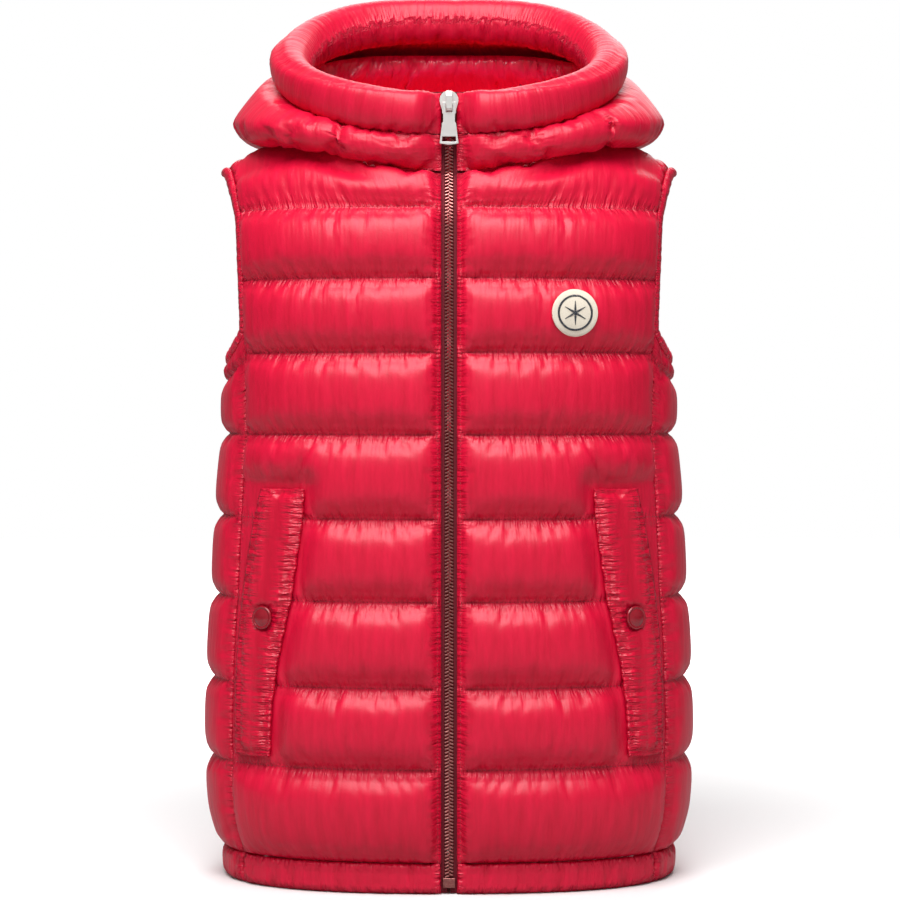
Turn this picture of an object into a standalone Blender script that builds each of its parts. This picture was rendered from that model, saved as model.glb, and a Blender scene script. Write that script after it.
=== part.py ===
"""A child's hooded puffer vest, channel-quilted, with an open-end zip.

Metres, +Z up. The front faces -Y and the wearer's left is at +X. The origin is the point
between the shoulders where a wearer carries the vest. Tables are in millimetres.
"""

import math

import bmesh
import bpy
from mathutils import Matrix, Vector

MM = 0.001
GAP = 0.3 * MM

# Torso: rings of the cloth's inner side, from the hem to the top of the shoulders.
ROUNDNESS = 2.4
RINGS = [
    # height, half_width, front_depth, back_depth
    (-468, 141, 85, 77),
    (-445, 142.5, 86, 78),
    (-420, 148, 89, 81),
    (-380, 150, 92, 83),
    (-330, 149, 93, 82),
    (-278, 146, 92, 80),
    (-228, 143.5, 91, 80),
    (-183, 140, 90, 82),
    (-133, 141, 88, 86),
    (-87, 143, 86, 88),
    (-43, 146, 80, 87),
    (-14, 149.5, 73, 86),
    (20, 150, 68, 84),
]
HEM_END = -467 * MM
HEM_SEAM = -448 * MM
HEM_GAP = 0.6 * MM
QUILT_SEAMS = [z * MM for z in (-448, -390, -340, -287, -236, -184, -133, -87, -43)]
YOKE_SEAM = QUILT_SEAMS[-1]
YOKE_RISE = 60 * MM  # length that the levels give to the yoke, from its seam to its top
CHANNEL_ROWS = (0, 0.16, 0.5, 0.84)
YOKE_ROWS = (0.18, 0.45, 0.72, 0.9, 1.0)
HEM_ROWS = (0, 0.2, 0.6, 1.0)

SHOULDER_TOP = 26.1 * MM
SHOULDER_FALL = 1.957  # per metre: the shoulder line falls with the square of the distance
SHOULDER_ROLL = 80 * MM
SHOULDER_TIP = 142 * MM
NECK_HALF_WIDTH = 85 * MM
NECK_FRONT = -22 * MM
NECK_SIDE = 12 * MM
NECK_BACK = 6 * MM
NECK_SHARE = 0.55  # of a panel's width at its upper edge, along the neck seam
PANEL_BEND = math.radians(70)  # spreads a panel's columns evenly round the body
FRONT_COLUMNS = 8
BACK_COLUMNS = 5
SIDE_SEAM = 0.9  # of the ring's half width
ARMHOLE_CORNER = -117 * MM
ARMHOLE_BOTTOM = -140 * MM
UNDERARM_BEND = 0.98  # 0 for a parabola, 1 for a half ellipse

# Quilting: thickness of the filled cloth.
SEAM_THICKNESS = 2.0 * MM
CROWN = 12.0 * MM
SIDE_CROWN = 6.5 * MM
HEM_CROWN = 5.0 * MM
YOKE_CROWN = 9.0 * MM
PRESSED_CROWN = 4.0 * MM

# Zip
ZIP_EDGE = 4.9 * MM
ZIP_PINCH = 16 * MM
ZIP_TOP = 30 * MM
ZIP_COLLAR_DEPTH = 67 * MM
TAPE_STANDOFF = 0.8 * MM
TAPE_INNER = 1.1 * MM
TAPE_OUTER = 12 * MM
TAPE_THICKNESS = 1.0 * MM
CHAIN_HALF_WIDTH = 3.0 * MM
CHAIN_THICKNESS = 1.9 * MM
BOX_TOP = -457.5 * MM
BOX_HALF_WIDTH = 3.8 * MM
SLIDER_BOTTOM = 16.8 * MM
ZIP_COLLAR_STEPS = 8

# Hood: the rim's inner line is a tilted superellipse.
RIM_HALF_WIDTH = 86.5 * MM
RIM_FRONT = 68 * MM
RIM_BACK = 68 * MM
RIM_LOW = 16 * MM
RIM_HIGH = 95 * MM
RIM_BACK_ROUNDNESS = 2.8
RIM_END_DEPTH = 2.2 * MM
RIM_SIDES = 10
HOOD_CROWN = 8 * MM
HOOD_COLUMNS = (0, 3, 8, 17, 29, 42, 56, 70, 85, 102, 120, 140, 160, 180)
HOOD_ROWS = 8
UNDERSIDE = 3.0 * MM
LINING_THICKNESS = 1.2 * MM
HOOD = [
    # turn, rim_half_depth, rim_half_height, seam_angle, lift, low_out, low_rise, high_out, high_drop
    (0, 8, 13, -85, 2.4, 1, 8, 1, 8),
    (30, 8.5, 14, -80, 5.2, 13, 6, 10, 8),
    (60, 10, 14, -70, 7.5, 42, -4, 30, 22),
    (90, 11.5, 14, -60, 7, 63, -24, 33, 36),
    (120, 11, 14, -60, 7, 76, -34, 46, 46),
    (150, 10, 15, -60, 7, 86, -46, 70, 62),
    (180, 10, 15, -60, 7, 92, -54, 86, 74),
]

BINDING_HALF_WIDTH = 3.5 * MM
BINDING_HALF_DEPTH = 2.8 * MM
BINDING_SIDES = 6

# Pocket flap: the inner and outer edges across the front, seen on the inner form.
FLAP = [
    # height, inner_edge, outer_edge
    (-384, 108.5, 129.5),
    (-337, 105, 129),
    (-287, 95.5, 125),
    (-250, 90, 120),
    (-218, 87, 113.5),
]
FLAP_STANDOFF = 5.6 * MM
FLAP_THICKNESS = 2.4 * MM
FLAP_MARGIN = 20 * MM
FLAP_CLEAR = 6 * MM
FLAP_CROWN = 5.0 * MM
FLAP_ROWS = 10
FLAP_COLUMNS = 3
SNAP_PLACE = (111 * MM, -298 * MM)
SNAP_STEPS = 20
SNAP_SECTION = [
    # radius, height: the domed cap's half section, from its crown to its back
    (0, 2.6),
    (3.2, 2.4),
    (5.4, 1.7),
    (5.9, 1.9),
    (6.7, 1.9),
    (7.5, 1.2),
    (7.5, 0.5),
    (6.9, 0),
    (0, 0),
]

PATCH_PLACE = (77 * MM, -109 * MM)
PATCH_RADIUS = 14.2 * MM
PATCH_THICKNESS = 1.6 * MM
PATCH_STEPS = 20
PATCH_RINGS = (1.0, 0.75, 0.4, 0.001)
PATCH_CLEAR = 0.5 * MM

# Slider and pull
SLIDER_DEPTH = 74.6 * MM  # from the origin back to the slider's front face
SLIDER_PLATE = 1.5 * MM
AXLE_HEIGHT = 21.7 * MM
AXLE_STANDOFF = 1.5 * MM
BRIDGE_HALF_WIDTH = 1.7 * MM
PULL_THICKNESS = 1.4 * MM

REDS = {"shell": "C8102E", "lining": "C2183A", "binding": "CC1736", "tape": "6E0A1A"}


def lerp(start, end, part):
    return start + (end - start) * part


def ease(part):
    part = min(max(part, 0.0), 1.0)
    return part * part * (3 - 2 * part)


def even(steps):
    return [k / steps for k in range(steps + 1)]


def read_table(table, at, flat_ends=False):
    """The columns of a millimetre table, in metres, on a smooth curve through its rows."""
    at = min(max(at, table[0][0]), table[-1][0])
    last = len(table) - 1
    low = max(k for k in range(last) if table[k][0] <= at or k == 0)
    span = table[low + 1][0] - table[low][0]
    part = (at - table[low][0]) / span

    def slope(row, column):
        before, after = max(row - 1, 0), min(row + 1, last)
        if flat_ends and row in (0, last):
            return 0.0
        return (table[after][column] - table[before][column]) / (table[after][0] - table[before][0])

    values = []
    for column in range(1, len(table[0])):
        start, end = table[low][column], table[low + 1][column]
        values.append(
            (2 * part**3 - 3 * part**2 + 1) * start
            + (part**3 - 2 * part**2 + part) * span * slope(low, column)
            + (3 * part**2 - 2 * part**3) * end
            + (part**3 - part**2) * span * slope(low + 1, column)
        )
    return values


def ring_at(z):
    return [value * MM for value in read_table(RINGS, z / MM)]


# The torso's form


def shoulder_height(x):
    return SHOULDER_TOP - SHOULDER_FALL * x * x


def torso_y(x, z, front):
    """How far forward or back the inner side of the cloth lies."""
    half_width, front_depth, back_depth = ring_at(z)
    across = max(0.0, 1 - (abs(x) / half_width) ** ROUNDNESS) ** (1 / ROUNDNESS)
    drop = min(max((shoulder_height(x) - z) / SHOULDER_ROLL, 0.0), 1.0)
    roll = math.sqrt(1 - (1 - drop) ** 2)
    if front:
        return -max(front_depth * across * roll, GAP / 2)
    return max(back_depth * across * roll, GAP / 2)


def neck_point(turn):
    """The neck seam, from the front centre (0) round the left side (90) to the back (180)."""
    x = NECK_HALF_WIDTH * math.sin(turn) + ZIP_EDGE * (1 + math.cos(turn)) / 2
    front = turn <= math.pi / 2
    centre = NECK_FRONT if front else NECK_BACK
    z = lerp(NECK_SIDE, centre, abs(math.cos(turn)))
    z = min(z, shoulder_height(x))
    return Vector((x, torso_y(x, z, front), z))


def top_point(across, front):
    """The upper edge of a front or back: along the neck seam, then along the shoulder seam."""
    if across <= NECK_SHARE:
        turn = across / NECK_SHARE * math.pi / 2
        return neck_point(turn if front else math.pi - turn)
    x = lerp(neck_point(math.pi / 2).x, SHOULDER_TIP, (across - NECK_SHARE) / (1 - NECK_SHARE))
    z = shoulder_height(x)
    return Vector((x, torso_y(x, z, front), z))


def panel_x(across, z, front):
    """Across a panel: 0 at the centre, 1 at the side seam or the armhole."""
    inner = ZIP_EDGE if front else 0.0
    part = math.sin(across * PANEL_BEND) / math.sin(PANEL_BEND)
    return lerp(inner, SIDE_SEAM * ring_at(z)[0], part)


def panel_point(across, level, front):
    """A point of the inner side of a front or back. Above the yoke seam, level runs on to the top."""
    if level <= YOKE_SEAM:
        x = panel_x(across, level, front)
        return Vector((x, torso_y(x, level, front), level))
    part = (level - YOKE_SEAM) / YOKE_RISE
    top = top_point(across, front)
    x = lerp(panel_x(across, YOKE_SEAM, front), top.x, part)
    z = lerp(YOKE_SEAM, top.z, math.sin(part * math.pi / 2))
    if part >= 1:
        return top
    return Vector((x, torso_y(x, min(z, shoulder_height(x)), front), z))


def flank_point(around, level):
    """The back's side pieces: -1 at the side seam, 0 at the widest place, 1 where the back begins."""
    rise = (1 - math.sqrt(1 - UNDERARM_BEND * around * around)) / (1 - math.sqrt(1 - UNDERARM_BEND))
    top = lerp(ARMHOLE_BOTTOM, ARMHOLE_CORNER, rise)
    under = QUILT_SEAMS[5]
    if level > under:
        level = lerp(under, top, (level - under) / (ARMHOLE_CORNER - under))
    half_width = ring_at(level)[0]
    edge = torso_y(SIDE_SEAM * half_width, level, around < 0)
    y = abs(around) * edge
    depth = ring_at(level)[1 if around < 0 else 2]
    x = half_width * (1 - (abs(y) / depth) ** ROUNDNESS) ** (1 / ROUNDNESS)
    return Vector((x, y, level))


def surface_normal(place, u, v, step=0.01):
    """The outward direction of a mapped surface, from its two directions."""
    along_u = place(min(u + step, 1), v) - place(max(u - step, 0), v)
    along_v = place(u, min(v + step, 1)) - place(u, max(v - step, 0))
    return along_u.cross(along_v).normalized()


# Levels and padding


def panel_levels(top_level):
    levels = []
    for low, high in zip(QUILT_SEAMS, QUILT_SEAMS[1:]):
        levels += [lerp(low, high, part) for part in CHANNEL_ROWS]
    levels[0] += HEM_GAP / 2
    levels += [YOKE_SEAM] + [YOKE_SEAM + part * YOKE_RISE for part in YOKE_ROWS]
    low_levels = [level for level in levels if level < top_level - 1 * MM]
    return low_levels + [top_level]


def channel_height(level):
    """0 at a quilting seam, 1 at the crown of a channel."""
    if level > YOKE_SEAM:
        return 1 - abs(2 * (level - YOKE_SEAM) / YOKE_RISE - 1) ** 1.5
    for low, high in zip(QUILT_SEAMS, QUILT_SEAMS[1:]):
        if low <= level <= high:
            return 1 - abs(2 * (level - low) / (high - low) - 1) ** 2.2
    return 0.0


def flap_edges(z):
    return [value * MM for value in read_table(FLAP, z / MM)]


def flap_press(x, z):
    """How much a pocket flap presses the front under it: 0 away from it, 1 under it."""
    reach = FLAP_MARGIN + FLAP_CLEAR
    ends = ease((z - FLAP[0][0] * MM + reach) / FLAP_MARGIN)
    ends *= ease((FLAP[-1][0] * MM + reach - z) / FLAP_MARGIN)
    return ends * ease((x - flap_edges(z)[0] + reach) / FLAP_MARGIN)


def yoke_crown(across, level, front):
    """The hood lies on the yoke and presses its upper part, except at the front centre."""
    press = ease(((level - YOKE_SEAM) / YOKE_RISE - 0.2) / 0.25)
    if front:
        press *= ease((across - 0.15) / 0.2)
    return lerp(YOKE_CROWN, PRESSED_CROWN, press)


def front_padding(across, level):
    point = panel_point(across, level, True)
    crown = lerp(CROWN, SIDE_CROWN, ease((across - 0.6) / 0.4))
    crown = lerp(crown, min(crown, FLAP_CROWN), flap_press(point.x, point.z))
    if level > YOKE_SEAM:
        crown = min(crown, yoke_crown(across, level, True))
    pinch = ease((point.x - ZIP_EDGE) / ZIP_PINCH)
    if level > ARMHOLE_CORNER:
        pinch *= ease((1 - across) / 0.12)
    return lerp(SEAM_THICKNESS, crown, channel_height(level) * pinch)


def back_padding(across, level):
    crown = lerp(CROWN, SIDE_CROWN, ease((across - 0.6) / 0.4))
    if level > YOKE_SEAM:
        crown = min(crown, yoke_crown(across, level, False))
    pinch = ease((1 - across) / 0.12) if level > ARMHOLE_CORNER else 1
    return lerp(SEAM_THICKNESS, crown, channel_height(level) * pinch)


def flank_padding(level):
    pinch = ease((ARMHOLE_CORNER - level) / (20 * MM))
    return lerp(SEAM_THICKNESS, SIDE_CROWN, channel_height(level) * pinch)


# The hood


def rim_line(turn):
    """The inner line of the rim, from the front centre (0) round the left side to the back (180)."""
    across = math.sin(turn)
    if turn > math.pi / 2:
        across = across ** (2 / RIM_BACK_ROUNDNESS)
    x = RIM_HALF_WIDTH * across + ZIP_EDGE * (1 + math.cos(turn)) / 2
    along = math.cos(turn)
    y = -RIM_FRONT * along if along > 0 else -RIM_BACK * along
    return Vector((x, y, lerp(RIM_LOW, RIM_HIGH, (1 - along) / 2)))


def hood_row(turn):
    values = read_table(HOOD, math.degrees(turn), flat_ends=True)
    values = [value * MM for value in values]
    values[2] = math.radians(values[2] / MM)
    return values


def outward(turn):
    """The level direction out of the hood."""
    point = rim_line(turn)
    return Vector((point.x - ZIP_EDGE * (1 + math.cos(turn)) / 2, point.y, 0)).normalized()


def rim_section(turn):
    """The centre, two half sizes and two directions of the rim's section."""
    half_depth, half_height = hood_row(turn)[:2]
    inner = rim_line(turn)
    half_depth = lerp(RIM_END_DEPTH, half_depth, ease((inner.x - ZIP_EDGE) / ZIP_PINCH)) \
        if turn < math.pi / 2 else half_depth
    step = math.radians(1)
    before = rim_line(max(turn - step, 0))
    after = rim_line(turn + step) if turn < math.pi - step else rim_line(math.pi)
    along = after - before
    if turn < step or turn > math.pi - step:
        along = Vector((1, 0, 0)) if turn < step else Vector((-1, 0, 0))
    along.normalize()
    out = outward(turn)
    out = (out - along * out.dot(along)).normalized()
    up = out.cross(along)
    up = up if up.z > 0 else -up
    return inner + out * half_depth, out * half_depth, up * half_height


def rim_point(turn, angle, clear=0.0):
    centre, out, up = rim_section(turn)
    offset = out * math.cos(angle) + up * math.sin(angle)
    return centre + offset + offset.normalized() * clear


def hood_point(turn, part):
    """The inner side of the hood bag: 0 at the neck seam, 1 at the rim seam."""
    seam_angle, lift, low_out, low_rise, high_out, high_drop = hood_row(turn)[2:]
    out = outward(turn)
    up = Vector((0, 0, 1))
    neck = neck_point(turn) + up * lift
    rim = rim_point(turn, seam_angle, clear=1.1 * MM)
    low = neck + out * low_out + up * low_rise
    high = rim + out * high_out - up * high_drop
    rest = 1 - part
    return (
        neck * rest**3 + low * 3 * rest**2 * part + high * 3 * rest * part**2 + rim * part**3
    )


def hood_padding(turn, part):
    """Thin along the seams and on the underside, which lies on the shoulders."""
    crown = lerp(SEAM_THICKNESS, HOOD_CROWN, ease(turn / math.radians(12)))
    under = lerp(crown, UNDERSIDE, ease((turn - math.radians(35)) / math.radians(25)))
    crown = lerp(under, crown, ease((part - 0.25) / 0.2))
    ends = ease(part / 0.45) * ease((1 - part) / 0.25)
    return lerp(SEAM_THICKNESS, crown, ends)


# Meshes


def new_material(name, colour, roughness, metallic=0.0):
    material = bpy.data.materials.new(name)
    material.use_nodes = True
    shader = material.node_tree.nodes["Principled BSDF"]
    channels = [int(colour[k:k + 2], 16) / 255 for k in (0, 2, 4)]
    linear = [c / 12.92 if c <= 0.04045 else ((c + 0.055) / 1.055) ** 2.4 for c in channels]
    shader.inputs["Base Color"].default_value = (*linear, 1)
    shader.inputs["Roughness"].default_value = roughness
    shader.inputs["Metallic"].default_value = metallic
    return material


def add_object(name, mesh, material, collection):
    piece = bpy.data.objects.new(name, mesh)
    piece.data.materials.append(material)
    collection.objects.link(piece)
    return piece


def grid(bm, columns, rows, place):
    """A grid laid on a surface: place takes a column and a row and gives a point."""
    layer = bm.verts.layers.deform.verify()
    made = bmesh.ops.create_grid(
        bm, x_segments=len(columns) - 1, y_segments=len(rows) - 1, size=1
    )
    for vert in made["verts"]:
        column = columns[round((vert.co.x + 1) / 2 * (len(columns) - 1))]
        row = rows[round((vert.co.y + 1) / 2 * (len(rows) - 1))]
        vert.co, weight = place(column, row)
        vert[layer][0] = weight


def wall(name, bm, thickness, material, collection):
    """A cloth wall: the surface is its inner side and the group of each point its thickness."""
    bmesh.ops.remove_doubles(bm, verts=bm.verts, dist=0.001 * MM)
    bmesh.ops.recalc_face_normals(bm, faces=bm.faces)
    outward_sum = sum(
        face.normal.dot(face.calc_center_median() * Vector((1, 1, 0))) * face.calc_area()
        for face in bm.faces
    )
    if outward_sum < 0:
        bmesh.ops.reverse_faces(bm, faces=bm.faces)
    mesh = bpy.data.meshes.new(name)
    bm.to_mesh(mesh)
    bm.free()
    piece = add_object(name, mesh, material, collection)
    piece.vertex_groups.new(name="padding")
    solidify = piece.modifiers.new("cloth wall", "SOLIDIFY")
    solidify.thickness = thickness
    solidify.offset = 1
    solidify.vertex_group = "padding"
    triangulate = piece.modifiers.new("flat facets", "TRIANGULATE")
    triangulate.quad_method = "SHORTEST_DIAGONAL"
    return piece


def closed(name, bm, material, collection):
    """A closed mesh, its open ends filled and its faces turned out."""
    bmesh.ops.remove_doubles(bm, verts=bm.verts, dist=0.001 * MM)
    bmesh.ops.holes_fill(bm, edges=bm.edges, sides=0)
    bmesh.ops.triangulate(bm, faces=[face for face in bm.faces if len(face.verts) > 4])
    if bm.calc_volume(signed=True) < 0:
        bmesh.ops.reverse_faces(bm, faces=bm.faces)
    mesh = bpy.data.meshes.new(name)
    bm.to_mesh(mesh)
    bm.free()
    return add_object(name, mesh, material, collection)


def mirrored(point, side):
    return Vector((point.x * side, point.y, point.z))


# Pieces


def side_name(side):
    return "left" if side > 0 else "right"


def make_front(side, material, collection):
    bm = bmesh.new()
    columns = even(FRONT_COLUMNS)
    columns[1] *= 0.8  # closer to the zip, where the padding rises

    def place(across, level):
        point = panel_point(across, level, True)
        return mirrored(point, side), front_padding(across, level) / CROWN

    grid(bm, columns, panel_levels(YOKE_SEAM + YOKE_RISE), place)
    return wall(f"front_{side_name(side)}", bm, CROWN, material, collection)


def flank_columns():
    """Columns of a flank, closer together at its ends, from just short of the side seam."""
    columns = [math.sin(math.radians(angle)) for angle in (-90, -58, -20, 20, 58, 90)]
    columns[0] += 0.008
    return columns


def make_back(material, collection):
    bm = bmesh.new()
    half = even(BACK_COLUMNS)

    def middle(across, level):
        point = panel_point(abs(across), level, False)
        return mirrored(point, 1 if across > 0 else -1), back_padding(abs(across), level) / CROWN

    grid(bm, [-k for k in reversed(half[1:])] + half, panel_levels(YOKE_SEAM + YOKE_RISE), middle)
    for side in (1, -1):

        def flank(around, level):
            point = flank_point(around, level)
            return mirrored(point, side), flank_padding(level) / CROWN

        grid(bm, flank_columns(), panel_levels(ARMHOLE_CORNER), flank)
    return wall("back", bm, CROWN, material, collection)


def hem_padding(part):
    return lerp(SEAM_THICKNESS, HEM_CROWN, 1 - abs(2 * part - 1) ** 2)


def hem_level(part):
    return lerp(HEM_SEAM - HEM_GAP / 2, HEM_END, part)


def make_hem_front(side, material, collection):
    bm = bmesh.new()

    def place(across, part):
        point = panel_point(across, hem_level(part), True)
        return mirrored(point, side), hem_padding(part) / CROWN

    grid(bm, even(FRONT_COLUMNS), HEM_ROWS, place)
    return wall(f"hem_front_{side_name(side)}", bm, CROWN, material, collection)


def make_hem_back(material, collection):
    bm = bmesh.new()
    half = even(BACK_COLUMNS)

    def middle(across, part):
        point = panel_point(abs(across), hem_level(part), False)
        return mirrored(point, 1 if across > 0 else -1), hem_padding(part) / CROWN

    grid(bm, [-k for k in reversed(half[1:])] + half, HEM_ROWS, middle)
    for side in (1, -1):

        def flank(around, part):
            point = flank_point(around, hem_level(part))
            return mirrored(point, side), hem_padding(part) / CROWN

        grid(bm, flank_columns(), HEM_ROWS, flank)
    return wall("hem_back", bm, CROWN, material, collection)


def armhole_edge():
    """The armhole's seam line: down the front edge, under the arm and up the back edge."""
    top = YOKE_SEAM + YOKE_RISE
    upper = [level for level in panel_levels(top) if level >= ARMHOLE_CORNER + 1 * MM]
    front = [panel_point(1, level, True) for level in reversed(upper)]
    under = [flank_point(around, ARMHOLE_CORNER) for around in flank_columns()[1:-1]]
    back = [panel_point(1, level, False) for level in upper[:-1]]
    return front + under + back


def make_binding(side, material, collection):
    """An elastic roll round the armhole: rings of points beside its seam line."""
    bm = bmesh.new()
    edge = armhole_edge()
    middle = sum(edge, Vector()) / len(edge)
    count = len(edge)
    rings = []
    for k in range(count + 1):
        point = edge[k % count]
        along = (edge[(k + 1) % count] - edge[(k - 1) % count]).normalized()
        out = Vector((point.x * 0.8, point.y, 0))
        out += Vector((0, 0, 1)) * 0.12 * ease((point.z + 60 * MM) / (50 * MM))
        out = (out - along * out.dot(along)).normalized()
        away = along.cross(out)
        away = away if away.dot(middle - point) > 0 else -away
        centre = point + away * (BINDING_HALF_WIDTH + 0.6 * MM) + out * SEAM_THICKNESS / 2
        rings.append((centre, away * BINDING_HALF_WIDTH, out * BINDING_HALF_DEPTH))

    def place(ring, corner):
        centre, away, out = rings[ring]
        angle = 2 * math.pi * corner / BINDING_SIDES
        return mirrored(centre + away * math.cos(angle) + out * math.sin(angle), side), 1

    grid(bm, list(range(count + 1)), list(range(BINDING_SIDES + 1)), place)
    return closed(f"armhole_binding_{side_name(side)}", bm, material, collection)


def hood_turns():
    """Turns from the right zip edge round the back to the left one, as (side, turn)."""
    left = [(1, math.radians(turn)) for turn in HOOD_COLUMNS]
    right = [(-1, math.radians(turn)) for turn in HOOD_COLUMNS[:-1]]
    return right + left[::-1]


def make_hood_shell(material, collection):
    bm = bmesh.new()

    def place(column, part):
        side, turn = column
        return mirrored(hood_point(turn, part), side), hood_padding(turn, part) / CROWN

    grid(bm, hood_turns(), even(HOOD_ROWS), place)
    return wall("hood_shell", bm, CROWN, material, collection)


def make_hood_lining(material, collection):
    """The lining follows the inner side of the hood bag, a little inside it, from tape to tape."""
    bm = bmesh.new()
    last_row = 0.95
    clear = 1.3 * MM + LINING_THICKNESS
    turns = [column for column in hood_turns() if column[1] > math.radians(HOOD_COLUMNS[1])]

    def place(column, part):
        side, turn = column
        turn_span = math.pi
        part *= last_row

        def inner(u, v):
            return hood_point(u * turn_span, v)

        normal = surface_normal(inner, turn / turn_span, part)
        point = hood_point(turn, part) - normal * clear
        return mirrored(point, side), LINING_THICKNESS / CROWN

    grid(bm, turns, even(HOOD_ROWS), place)
    return wall("hood_lining", bm, CROWN, material, collection)


def make_hood_rim(material, collection):
    bm = bmesh.new()

    def place(column, corner):
        side, turn = column
        angle = 2 * math.pi * corner / RIM_SIDES
        return mirrored(rim_point(turn, angle), side), 1

    grid(bm, hood_turns(), list(range(RIM_SIDES + 1)), place)
    return closed("hood_rim", bm, material, collection)


def zip_y(z):
    """How far forward the zip's front edges lie, on their inner side."""
    if z <= NECK_FRONT:
        return torso_y(ZIP_EDGE, z, True)
    return lerp(torso_y(ZIP_EDGE, NECK_FRONT, True), -ZIP_COLLAR_DEPTH, ease(-z / NECK_FRONT + 1))


def zip_heights(low, high):
    """Heights along the zip: those of the fronts' rows, then even steps up the collar."""
    rows = [hem_level(part) for part in HEM_ROWS]
    rows += [panel_point(0, level, True).z for level in panel_levels(YOKE_SEAM + YOKE_RISE)]
    rows += [lerp(NECK_FRONT, ZIP_TOP, k / ZIP_COLLAR_STEPS) for k in range(ZIP_COLLAR_STEPS)]
    rows = [row for row in rows if low + 1 * MM < row < high - 1 * MM]
    return [low] + sorted(rows) + [high]


def strip(name, low, high, left, right, front, back, material, collection):
    """A strip that follows the zip's line, between two heights, sides and depths behind it."""
    bm = bmesh.new()
    corners = [(left, front), (right, front), (right, back), (left, back), (left, front)]

    def place(z, corner):
        x, depth = corner
        return Vector((x, zip_y(z) + depth, z)), 1

    grid(bm, zip_heights(low, high), corners, place)
    return closed(name, bm, material, collection)


def make_zip(materials, collection):
    tape_front = TAPE_STANDOFF
    tape_back = tape_front + TAPE_THICKNESS
    strip("zip_tape_left", HEM_END, ZIP_TOP, TAPE_INNER, TAPE_OUTER, tape_front, tape_back,
          materials["tape"], collection)
    strip("zip_tape_right", HEM_END, ZIP_TOP, -TAPE_OUTER, -TAPE_INNER, tape_front, tape_back,
          materials["tape"], collection)
    chain_back = tape_front - GAP
    strip("zip_chain", BOX_TOP + GAP, SLIDER_BOTTOM - GAP, -CHAIN_HALF_WIDTH, CHAIN_HALF_WIDTH,
          chain_back - CHAIN_THICKNESS, chain_back, materials["teeth"], collection)
    strip("zip_box", HEM_END + 3.5 * MM, BOX_TOP, -BOX_HALF_WIDTH, BOX_HALF_WIDTH,
          chain_back - 1.4 * CHAIN_THICKNESS, chain_back, materials["teeth"], collection)


def outline(name, loops, half_thickness):
    """A flat plate from closed outlines in X and Z, as a mesh, centred on Y."""
    curve = bpy.data.curves.new(name, "CURVE")
    curve.dimensions = "2D"
    curve.fill_mode = "BOTH"
    curve.extrude = half_thickness
    for loop in loops:
        spline = curve.splines.new("POLY")
        spline.points.add(len(loop) - 1)
        for point, (x, z) in zip(spline.points, loop):
            point.co = (x, z, 0, 1)
        spline.use_cyclic_u = True
    source = bpy.data.objects.new(name, curve)
    bpy.context.scene.collection.objects.link(source)
    graph = bpy.context.evaluated_depsgraph_get()
    mesh = bpy.data.meshes.new_from_object(source.evaluated_get(graph))
    bpy.data.objects.remove(source)
    bm = bmesh.new()
    bm.from_mesh(mesh)
    bmesh.ops.remove_doubles(bm, verts=bm.verts, dist=0.001 * MM)
    bmesh.ops.rotate(bm, verts=bm.verts, matrix=Matrix.Rotation(math.radians(90), 3, "X"))
    bm.to_mesh(mesh)
    bm.free()
    return mesh


def arc(centre_x, centre_z, radius, start, end, steps):
    angles = [math.radians(lerp(start, end, k / steps)) for k in range(steps + 1)]
    return [
        (centre_x + radius * math.cos(angle), centre_z + radius * math.sin(angle))
        for angle in angles
    ]


def slider_outline():
    """A rounded crown with two shoulders that narrow to the chain, from the axle's height."""
    crown = arc(0, 2.3 * MM, 5.9 * MM, -20, 200, 14)
    return crown + [(-4.2 * MM, -4.7 * MM), (4.2 * MM, -4.7 * MM)]


def join_cutter(piece, helper_mesh, operation, helpers, location, turn=None):
    helper = bpy.data.objects.new(f"{piece.name}.{operation.lower()}", helper_mesh)
    helper.location = location
    if turn:
        helper.rotation_euler = turn
    helper.hide_render = True
    helper.display_type = "WIRE"
    helpers.objects.link(helper)
    boolean = piece.modifiers.new(operation.title(), "BOOLEAN")
    boolean.operation = operation
    boolean.object = helper


def make_slider(material, collection, helpers):
    face = Vector((0, -SLIDER_DEPTH, AXLE_HEIGHT))
    plate = outline("slider_plate", [slider_outline()], SLIDER_PLATE / 2)
    slider = add_object("zip_slider", plate, material, collection)
    slider.location = face + Vector((0, SLIDER_PLATE / 2, 0))

    rear_y = -ZIP_COLLAR_DEPTH + TAPE_STANDOFF + TAPE_THICKNESS + GAP + SLIDER_PLATE / 2
    rear = outline("slider_rear", [slider_outline()], SLIDER_PLATE / 2)
    join_cutter(slider, rear, "UNION", helpers, Vector((0, rear_y, AXLE_HEIGHT)))

    front_y = -SLIDER_DEPTH + SLIDER_PLATE / 2
    half_depth = (rear_y - front_y) / 2
    neck_half = 0.7 * MM
    neck_loop = [(-neck_half, 0), (neck_half, 0), (neck_half, 6 * MM), (-neck_half, 6 * MM)]
    neck = outline("slider_neck", [neck_loop], half_depth)
    middle_y = (rear_y + front_y) / 2
    join_cutter(slider, neck, "UNION", helpers, Vector((0, middle_y, AXLE_HEIGHT)))

    # The bridge is an arch over the pull's bar: its outline lies in Y and Z.
    height = 4.2 * MM
    tunnel = 2 * AXLE_STANDOFF
    sink = 0.5 * MM
    outer = [(-sink, -4.5), (height - 1.2 * MM, -4.5), (height, -3.2), (height, 4.6),
             (height - 1.8 * MM, 7.6), (-sink, 8.2)]
    inner = [(-sink, -2.9), (tunnel, -2.7), (tunnel, 2.9), (-sink, 3.4)]
    loop = [(x, z * MM) for x, z in outer + inner[::-1]]
    bridge = outline("slider_bridge", [loop], BRIDGE_HALF_WIDTH)
    join_cutter(slider, bridge, "UNION", helpers, face, (0, 0, math.radians(-90)))
    return slider


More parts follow.
